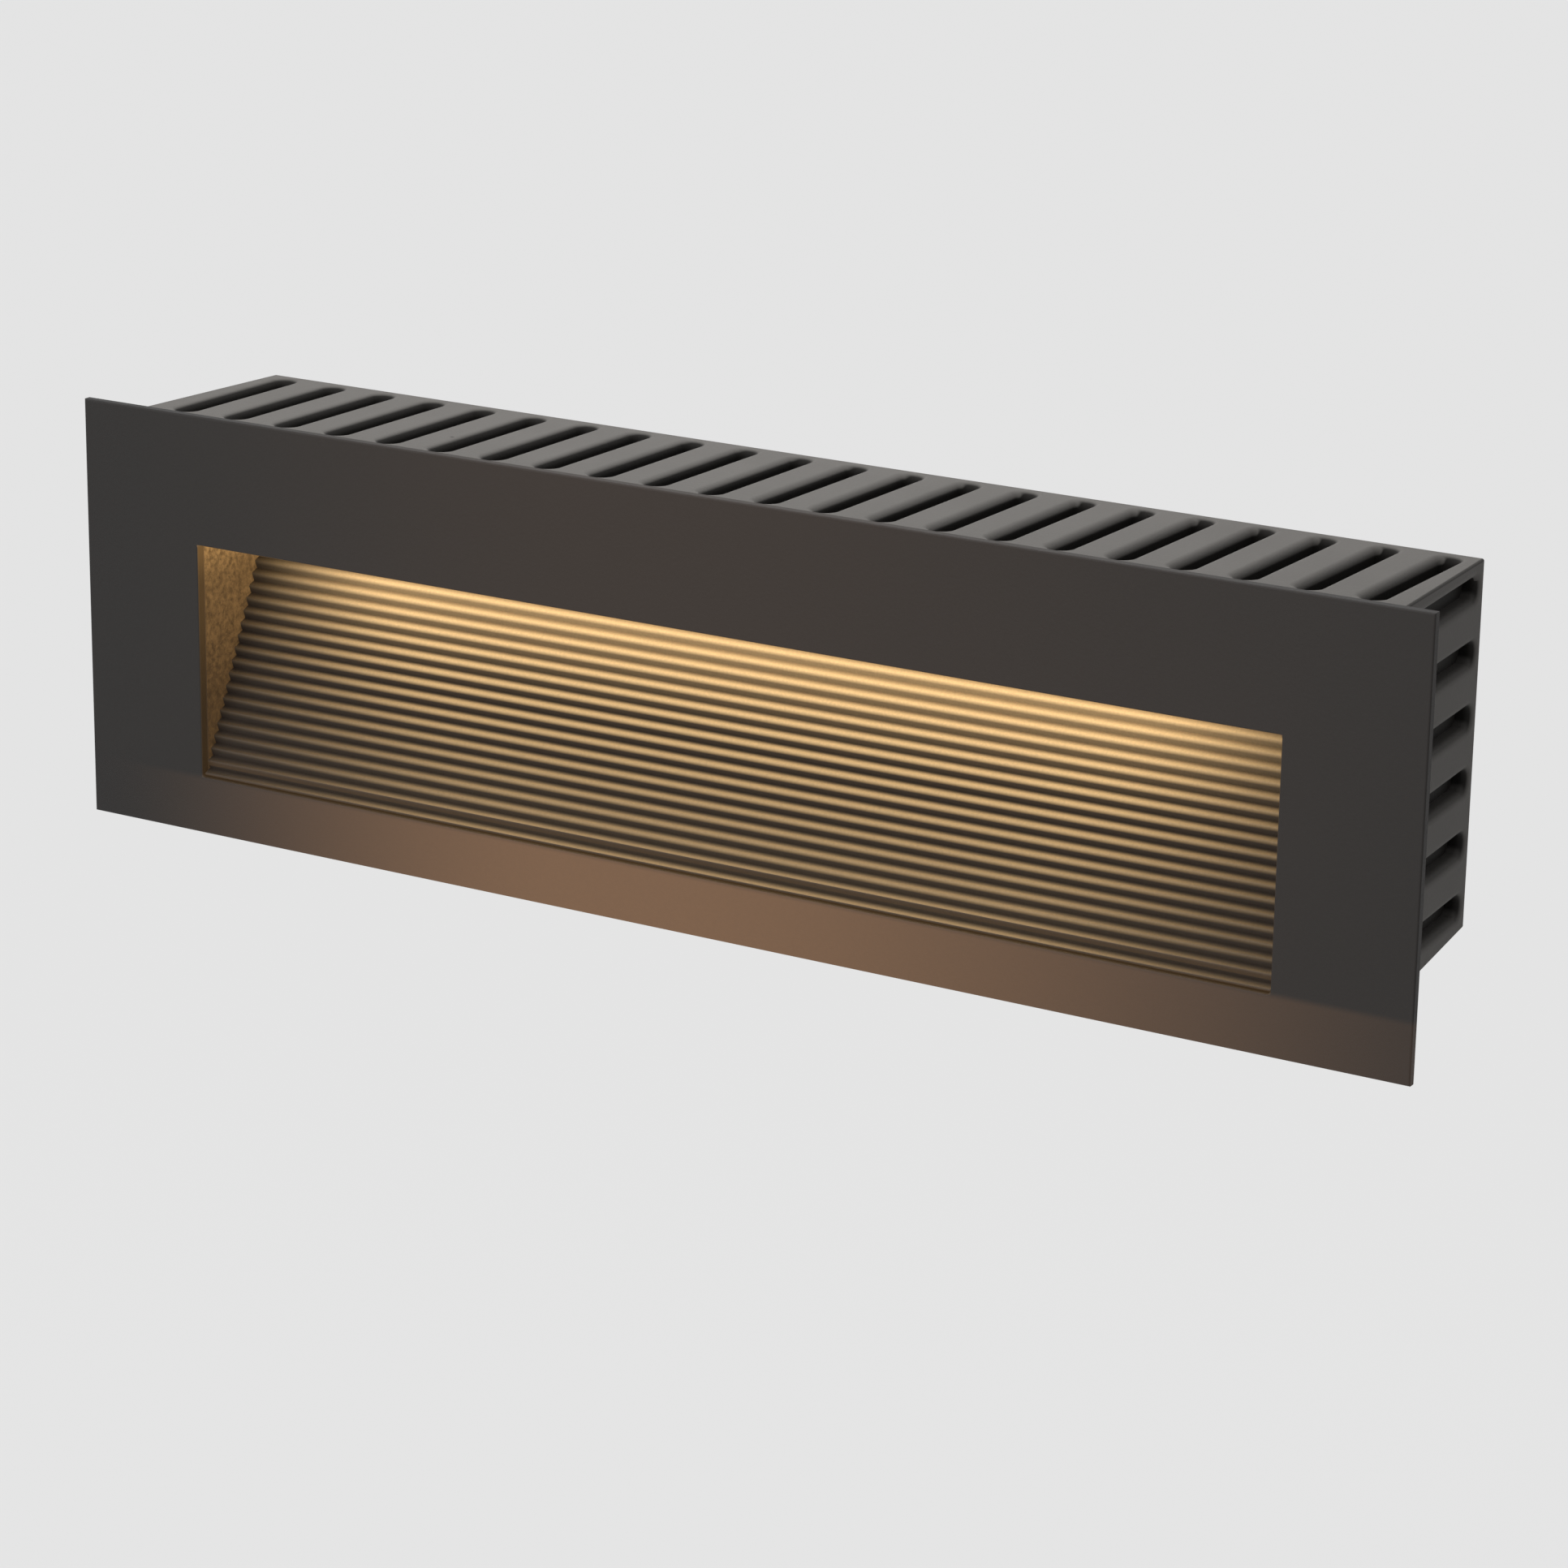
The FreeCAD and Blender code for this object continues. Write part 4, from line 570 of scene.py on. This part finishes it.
def solids(node):
    """Lowest and highest corners, in millimetres, of each separate solid of a CAD node."""
    shape = bmesh.new()
    shape.from_mesh(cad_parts[node].data)
    bmesh.ops.remove_doubles(shape, verts=shape.verts, dist=1e-6)
    waiting = set(shape.verts)
    boxes = []
    while waiting:
        front = [waiting.pop()]
        points = []
        while front:
            vert = front.pop()
            points.append(vert.co / MM)
            near = {edge.other_vert(vert) for edge in vert.link_edges} & waiting
            waiting -= near
            front += near
        lists = list(zip(*points))
        boxes.append((Vector(map(min, lists)), Vector(map(max, lists))))
    shape.free()
    return sorted(boxes, key=lambda box: tuple(round(part, 3) for part in box[0]))


def stand_in(name, shapes, body, node, finish):
    """Turns shapes in millimetres into one piece that stands for a CAD node."""
    whole = bmesh.new()
    for shape in shapes:
        part = bpy.data.meshes.new(f"{name}_part")
        shape.to_mesh(part)
        shape.free()
        whole.from_mesh(part)
        bpy.data.meshes.remove(part)
    bmesh.ops.scale(whole, verts=whole.verts, vec=(MM, MM, MM))
    mesh = bpy.data.meshes.new(name)
    whole.to_mesh(mesh)
    whole.free()
    mesh.shade_smooth()
    mesh.set_sharp_from_angle(angle=SHARP_TURN)
    mesh.materials.append(finish.material)
    piece = bpy.data.objects.new(name, mesh)
    bpy.context.scene.collection.objects.link(piece)
    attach(piece, body)
    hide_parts(node)


def make_stud_nuts(finish):
    """Thin nuts on the weld studs, with turned-down corners."""
    nuts = [nut(low, high, STUD_RADIUS) for low, high in solids("stud_nuts")]
    stand_in("turned_stud_nuts", nuts, "light_insert", "stud_nuts", finish)


def make_gland_locknut(finish):
    """Nylon locknut inside the box."""
    locknut = nut(*extents("gland_locknut"), GLAND_THREAD)
    stand_in(
        "moulded_locknut", [locknut], "back_box_body", "gland_locknut", finish
    )


def thread_line(start, end):
    """Half section of the gland's coarse moulded thread, as a row of rounded ridges."""
    root, crest = GLAND_THREAD - THREAD_DEPTH, GLAND_THREAD - CREST_CUT
    count = int((end - start) / THREAD_PITCH)
    step = (end - start) / count
    line = [(root, start)]
    for number in range(count):
        ridge = start + number * step
        line += [
            (root, ridge + 0.20 * step), (crest, ridge + 0.42 * step),
            (crest, ridge + 0.62 * step), (root, ridge + 0.84 * step),
        ]
    return line + [(root, end)]


def make_gland_body(finish):
    """Gland body: threads at both ends of a hexagon with turned-down corners."""
    low, high = extents("gland_body")
    corner, flat = radii(low, high)
    face, fall = turned_down(corner, flat)
    start, end = GLAND_HEXAGON
    profile = [
        (GLAND_PASSAGE, low.y), *thread_line(low.y, start),
        (face, start), (corner, start + fall), (corner, end - fall), (face, end),
        *thread_line(end, high.y), (GLAND_PASSAGE, high.y),
    ]
    body = hexagonal(low, high, profile)
    stand_in("moulded_gland_body", [body], "back_box_body", "gland_body", finish)


def make_gland_cap(finish):
    """Domed gland cap: flats below, a step, and a dome that closes round the seal's mouth."""
    low, high = extents("gland_cap")
    corner = radii(low, high)[0]
    bore, mouth, lip = GLAND_THREAD + 0.15, 3.7, 4.7
    skirt, inner_end = low.y + 5.4, high.y - 1.2
    shoulder, dome_start = corner - 0.95, skirt + 0.6
    profile = [
        (bore, low.y), (corner - 0.45, low.y), (corner, low.y + 0.3),
        (corner, skirt - 0.4), (corner - 0.35, skirt), (shoulder, skirt + 0.15),
    ]
    for number in range(DOME_STEPS + 1):
        turn = math.tau / 4 * number / DOME_STEPS
        radius = lip + (shoulder - lip) * math.cos(turn)
        profile.append((radius, dome_start + (high.y - dome_start) * math.sin(turn)))
    profile += [
        (mouth + 0.35, high.y), (mouth, high.y - 0.35), (mouth, inner_end), (bore, inner_end),
    ]
    cap = hexagonal(low, high, profile)
    stand_in("domed_gland_cap", [cap], "back_box_body", "gland_cap", finish)


def dress_nodes():
    """Every CAD node gets the finish of its own piece, and four get a fuller piece."""
    steel = plain("steel", (0.56, 0.55, 0.53), 0.28, metallic=1.0)
    brass = plain("brass", (0.62, 0.44, 0.18), 0.30, metallic=1.0)
    nylon = plain("nylon", (0.022, 0.022, 0.023), 0.45)
    foam = plain("foam", (0.03, 0.03, 0.03), 0.85, grain=0.9, depth=0.15)
    wear("faceplate", finish=plate_paint())
    wear("back_box", finish=box_paint())
    wear("ribbed_tray", finish=tray_paint())
    wear("diffuser", finish=frosted_light())
    wear("face_gasket", finish=foam)
    wear(
        "face_studs", "stud_washers", "stud_nuts", "carrier_screws", "driver_screws",
        "terminal_fixing_screw", "insert_earth_screw", "grip_springs",
        finish=steel,
    )
    wear("terminal_screws", "earth_tag", "box_earth_screw", "box_earth_washer", finish=brass)
    wear("gland_body", "gland_locknut", "gland_cap", finish=nylon)
    wear("gland_washer", "gland_seal", finish=plain("seal_rubber", (0.03, 0.03, 0.03), 0.7))
    wear("led_carrier", finish=plain("aluminium", (0.50, 0.50, 0.51), 0.50, metallic=1.0))
    wear("thermal_tape", finish=plain("tape", (0.7, 0.7, 0.68), 0.7))
    wear("diffuser_gasket", finish=plain("silicone", (0.6, 0.6, 0.57), 0.5))
    wear("led_board", finish=plain("circuit_board", (0.8, 0.8, 0.77), 0.3))
    wear("led_chips", finish=plain("chip", (0.85, 0.62, 0.16), 0.4))
    wear("driver_case", "driver_lid", finish=plain("driver_plastic", (0.03, 0.03, 0.032), 0.5))
    wear("driver_potting", finish=plain("potting", (0.05, 0.05, 0.055), 0.6))
    wear("terminal_block", finish=plain("terminal_plastic", (0.60, 0.58, 0.50), 0.45))
    wear("mains_leads", finish=plain("mains_insulation", (0.16, 0.07, 0.035), 0.4))
    wear("earth_lead", finish=plain("earth_insulation", (0.10, 0.30, 0.06), 0.4))
    wear("led_leads", finish=plain("low_voltage_insulation", (0.35, 0.03, 0.03), 0.4))
    make_stud_nuts(steel)
    make_gland_locknut(nylon)
    make_gland_body(nylon)
    make_gland_cap(nylon)


camera()
studio()
dress_nodes()
